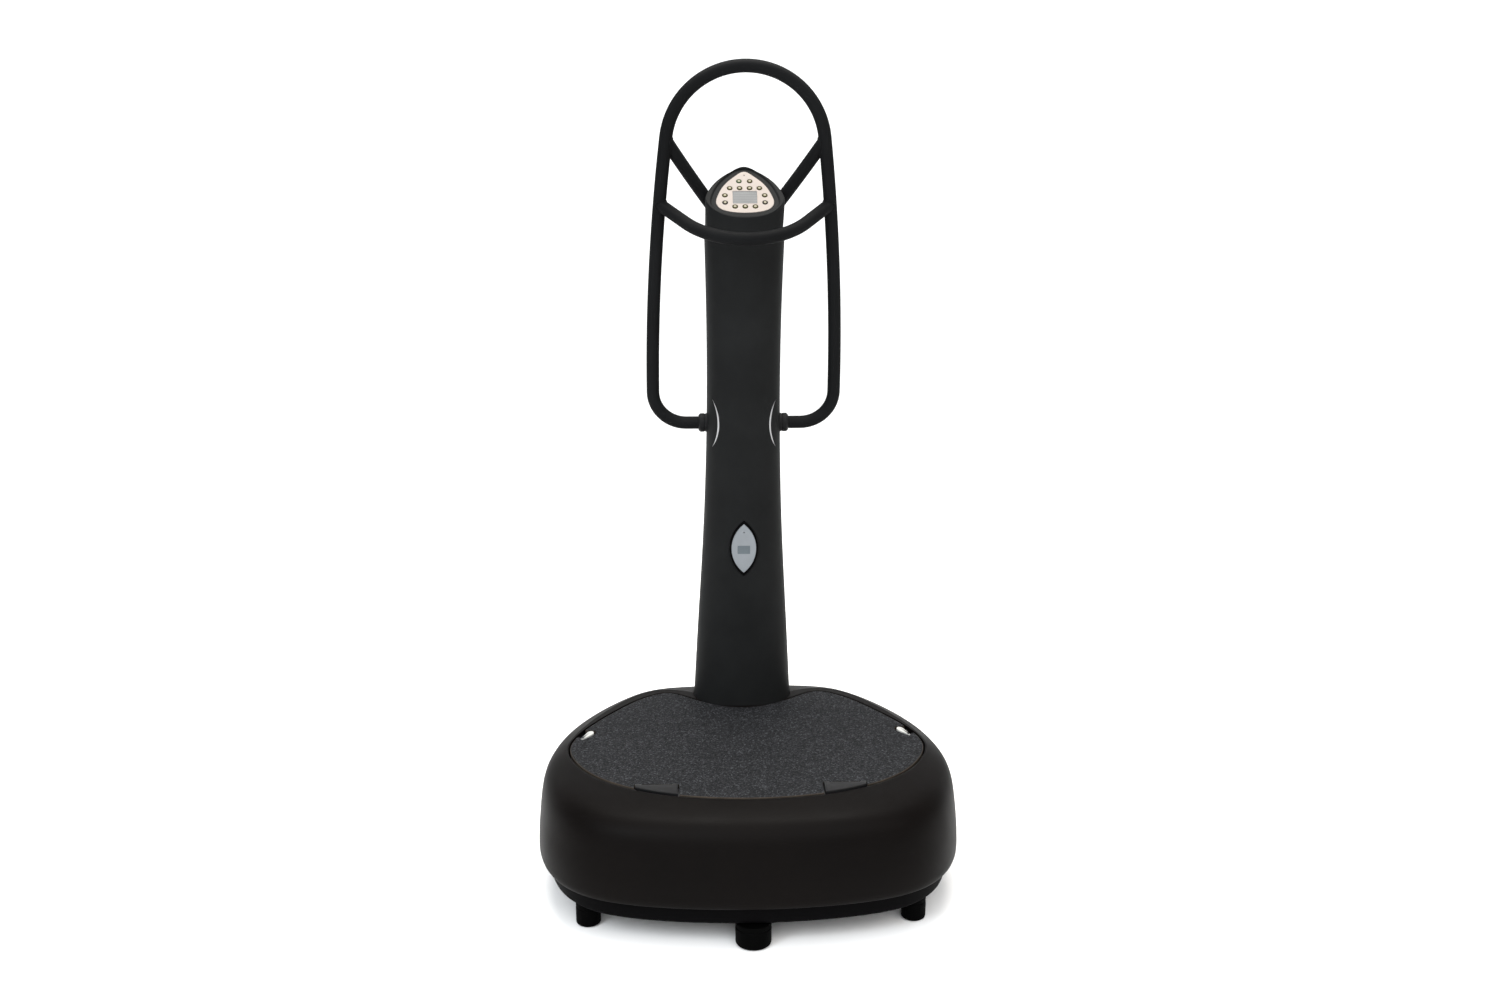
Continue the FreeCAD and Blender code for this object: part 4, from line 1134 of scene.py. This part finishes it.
# ---- console ----
TILT = math.radians(39)
PANEL_O = Vector((0, 85, 1271.5))
PANEL_PLACE = Matrix.Translation(PANEL_O * MM) @ Matrix.Rotation(TILT, 4, "X")
PANEL_MIDDLE = np.array((0.0, 46.0))
RIDGE = 2.5


def column_value(point):
    """Below 1 inside the column's outer surface and above 1 outside it."""
    half, front, widest, rear = column_at(min(max(point[2], COLUMN[0][0]), COLUMN[-1][0]))
    depth = rear - widest if point[1] > widest else widest - front
    return (abs(point[0] / half) ** ROUNDNESS
            + abs((point[1] - widest) / depth) ** ROUNDNESS)


def reach_of(outline, centre, angle):
    """Distance from a centre to a closed outline along an angle."""
    p = np.asarray(outline, float) - centre
    q = np.roll(p, -1, 0)
    d = np.array((math.cos(angle), math.sin(angle)))
    across = p[:, 0] * d[1] - p[:, 1] * d[0]
    beyond = q[:, 0] * d[1] - q[:, 1] * d[0]
    along = p @ d
    ahead = q @ d
    best = 0.0
    for i in np.nonzero((across * beyond <= 0) & (across != beyond))[0]:
        share = across[i] / (across[i] - beyond[i])
        best = max(best, along[i] + (ahead[i] - along[i]) * share)
    return best


def around_panel(count):
    """Angles and directions in the panel's plane, from its lower point round its middle."""
    angles = [2 * math.pi * k / count - math.pi / 2 for k in range(count)]
    return [(angle, np.array((math.cos(angle), math.sin(angle)))) for angle in angles]


def last_inside(low, high, point_at):
    """How far along a line of points the column's surface is met, by halving."""
    for _ in range(30):
        middle = (low + high) / 2
        inside = column_value(point_at(middle)) < 1
        low, high = (middle, high) if inside else (low, middle)
    return low


def on_plane(u, v, n):
    """A point of the panel's frame in the machine's frame, in millimetres."""
    return (PANEL_PLACE @ (Vector((u, v, n)) * MM)) / MM


def ridge_rings(count):
    """Where the head's upper edge runs, where its hood leaves the column below it, and which
    points of the edge lie on the column itself."""
    hood = closed_curve(HOOD, 400)
    soft = 1.5
    ridge = []
    shoulder = []
    on_surface = []
    for angle, d in around_panel(count):
        limit = reach_of(hood, PANEL_MIDDLE, angle)
        free = last_inside(5.0, 160.0, lambda t: on_plane(*(PANEL_MIDDLE + d * t), RIDGE))
        reach = -soft * math.log(math.exp(-free / soft) + math.exp(-limit / soft))
        u, v = PANEL_MIDDLE + d * reach
        down = last_inside(0.0, 200.0, lambda t: on_plane(u, v, RIDGE - t))
        ridge.append(tuple(on_plane(u, v, RIDGE)))
        shoulder.append(tuple(on_plane(u, v, RIDGE - down)))
        on_surface.append(free < limit)
    return np.array(ridge), np.array(shoulder), on_surface


def head_wall(ridge, shoulder, on_surface, share):
    """A ring of the head's wall, at a share of the way up from the seam to the upper edge."""
    bottom = HEAD_SEAM + SEAM
    ring = []
    for top, low, outside in zip(ridge, shoulder, on_surface):
        z = bottom + (top[2] - bottom) * share
        if outside or z < low[2]:
            ring.append(onto_column(top if outside else low, z))
        else:
            ring.append(tuple(low + (top - low) * (z - low[2]) / (top[2] - low[2])))
    return np.array(ring)


def onto_column(point, z):
    """A point moved to a height and out or in to the column's surface there."""
    widest = column_at(z)[2]
    factor = column_value((point[0], point[1], z)) ** (-1 / ROUNDNESS)
    return point[0] * factor, widest + (point[1] - widest) * factor, z


def panel_ring(grow, n, count):
    """The panel's outline in its own polar spacing, grown, at a height over the panel."""
    outline = closed_curve(inset(PANEL, -grow), 400)
    return np.array([tuple(on_plane(*(PANEL_MIDDLE + d * reach_of(outline, PANEL_MIDDLE, angle)), n))
                     for angle, d in around_panel(count)])


def make_head():
    count = 160
    ridge, shoulder, on_surface = ridge_rings(count)
    bottom = HEAD_SEAM + SEAM
    rings = [head_wall(ridge, shoulder, on_surface, share)
             for share in (0.0, 0.1, 0.22, 0.34, 0.46, 0.58, 0.7, 0.8, 0.88)]
    centre = np.array((0, 160.0, bottom))
    inner_low = centre + (rings[0] - centre) * (0.955, 0.965, 1)
    stations = [(rings[0], 0.8)] + [(r, 0) for r in rings[1:]]
    rim = panel_ring(11.5, 2.9, count)
    stations += [(ridge, 5.0), (ridge + (rim - ridge) * 0.5, 0), (rim, 2.0),
                 (panel_ring(9.0, -0.6, count), 0.8), (panel_ring(0.3, -0.6, count), 0.3),
                 (panel_ring(0.2, -3.0, count), 0.2), (panel_ring(-5, -3.0, count), 0.2),
                 (panel_ring(-5, -8.0, count), 0.2)]
    under = panel_ring(-2, -9.0, count)
    stations += [(under, 0), (under + (inner_low - under) * 0.5, 0), (inner_low, 0.5)]
    head = skin("head_shell", rounded(stations, loop=True), loop=True, sharp=50)
    paths = [strut_path(Vector((side, 1, 1)), 24) for side in (-1, 1)]
    carve(head, [sweep("cutter", path, BRACE_R + 0.6, 40) for path in paths], sharp=50)
    piece(head, "base", "cover_black", "console_head")


def make_panel():
    holes = [rounded_outline(-23, 23, 24, 57, 1.5)]
    holes += [round_outline(x, y, 5.5, 32) for x, y in BUTTONS]
    holes.append(round_outline(0, 99, 1.4, 16))
    panel = plate("panel_overlay", [closed_curve(PANEL, 160)] + holes, -3, 0.0, 0.35,
                  PANEL_PLACE)
    piece(panel, "base", "panel_grey", "console_panel")


def make_keys():
    normal = on_plane(0, 0, 1) - on_plane(0, 0, 0)
    for number, (x, y) in enumerate(BUTTONS, 1):
        name = f"button_{number:02d}"
        profile = [(-8, 0.01, 0), (-8, 6.4, 0.2), (-6.5, 6.4, 0.2), (-6.5, 5.2, 0.2),
                   (0.35, 5.2, 0.5), (0.95, 4.3, 0.35), (0.62, 3.45, 0.25), (0.9, 2.9, 0.3),
                   (1.0, 1.2, 0.6), (1.0, 0.01, 0)]
        key = lathe("key_" + name[-2:], on_plane(x, y, 0), normal, profile, 48, 45)
        centre = on_plane(x, y, 0) * MM
        axis = normal.normalized()
        ring = {1: KEY_GREEN, 7: KEY_RING, 9: KEY_DARK, 10: KEY_DARK}.get(number, KEY_RING)
        key.data.materials.append(LOOKS["key_grey"])
        key.data.materials.append(ring)
        for polygon in key.data.polygons:
            arm = polygon.center - centre
            spread = (arm - axis * arm.dot(axis)).length / MM
            polygon.material_index = 1 if spread > 2.4 else 0
        piece(key, name, "key_grey", name)


make_handle()
make_head()
make_panel()
make_keys()


# ---- floor, light and camera ----
def make_stage():
    """One pale sheet: a level floor that sweeps up into a wall well behind the machine."""
    profile = [(-12.0, 0.0), (7.0, 0.0)]
    for k in range(1, 25):
        angle = math.radians(90) * k / 24
        profile.append((7.0 + 3.0 * math.sin(angle), 3.0 - 3.0 * math.cos(angle)))
    profile.append((10.0, 9.0))
    points = [(x, y, z) for y, z in profile for x in (-16.0, 16.0)]
    faces = [(2 * k, 2 * k + 1, 2 * k + 3, 2 * k + 2) for k in range(len(profile) - 1)]
    mesh = bpy.data.meshes.new("floor")
    mesh.from_pydata(points, [], faces)
    mesh.shade_smooth()
    floor = linked("floor", mesh)
    material, surface = shader("floor_paint", (0.93, 0.93, 0.93), 0.9, specular=0.1)
    where = place_of(material)
    broad = noise(material, where, 1.2, 2.0, 0.5)
    wire(material, ramp(material, broad, [(0.3, (0.925, 0.925, 0.925)),
                                          (0.7, (0.935, 0.935, 0.935))]),
         surface.inputs["Base Color"])
    mesh.materials.append(material)
    world = bpy.data.worlds.new("studio")
    world.use_nodes = True
    back = world.node_tree.nodes["Background"]
    back.inputs["Color"].default_value = (0.96, 0.985, 1.0, 1)
    back.inputs["Strength"].default_value = 0.4
    bpy.context.scene.world = world
    sky = bpy.data.lights.new("sky_light", "SUN")
    sky.energy = 3.0
    sky.angle = math.radians(70)
    linked("sky_light", sky).rotation_euler = (math.radians(42), 0, 0)


def area(name, place, aim, width, height, power, colour):
    light = bpy.data.lights.new(name, "AREA")
    light.shape = "RECTANGLE"
    light.size = width
    light.size_y = height
    light.energy = power
    light.color = colour
    obj = linked(name, light)
    obj.location = place
    obj.rotation_euler = (Vector(aim) - Vector(place)).to_track_quat("-Z", "Y").to_euler()


def make_camera():
    camera = bpy.data.cameras.new("camera")
    camera.sensor_width = 36.0
    camera.lens = 40.58
    obj = linked("camera", camera)
    obj.location = (-0.1256, -3.095, 1.6)
    yaw = math.radians(2.44)
    pitch = math.radians(15.54)
    ahead = Vector((math.sin(yaw) * math.cos(pitch), math.cos(yaw) * math.cos(pitch),
                    -math.sin(pitch)))
    aim = ahead.to_track_quat("-Z", "Y").to_matrix()
    obj.rotation_euler = (aim @ Matrix.Rotation(math.radians(0.17), 3, "Z")).to_euler()
    bpy.context.scene.camera = obj


make_stage()
area("key_light", (-2.4, -2.6, 2.6), (0, 0, 0.8), 1.0, 1.8, 60, (0.86, 0.94, 1.0))
area("fill_light", (2.8, -2.0, 2.2), (0, 0, 0.6), 0.9, 1.6, 16, (1.0, 0.90, 0.80))
area("top_light", (0.0, 0.5, 3.2), (0, -0.3, 0.2), 2.6, 0.7, 120, (1.0, 0.97, 0.92))
make_camera()
bpy.context.scene.view_settings.view_transform = "Standard"
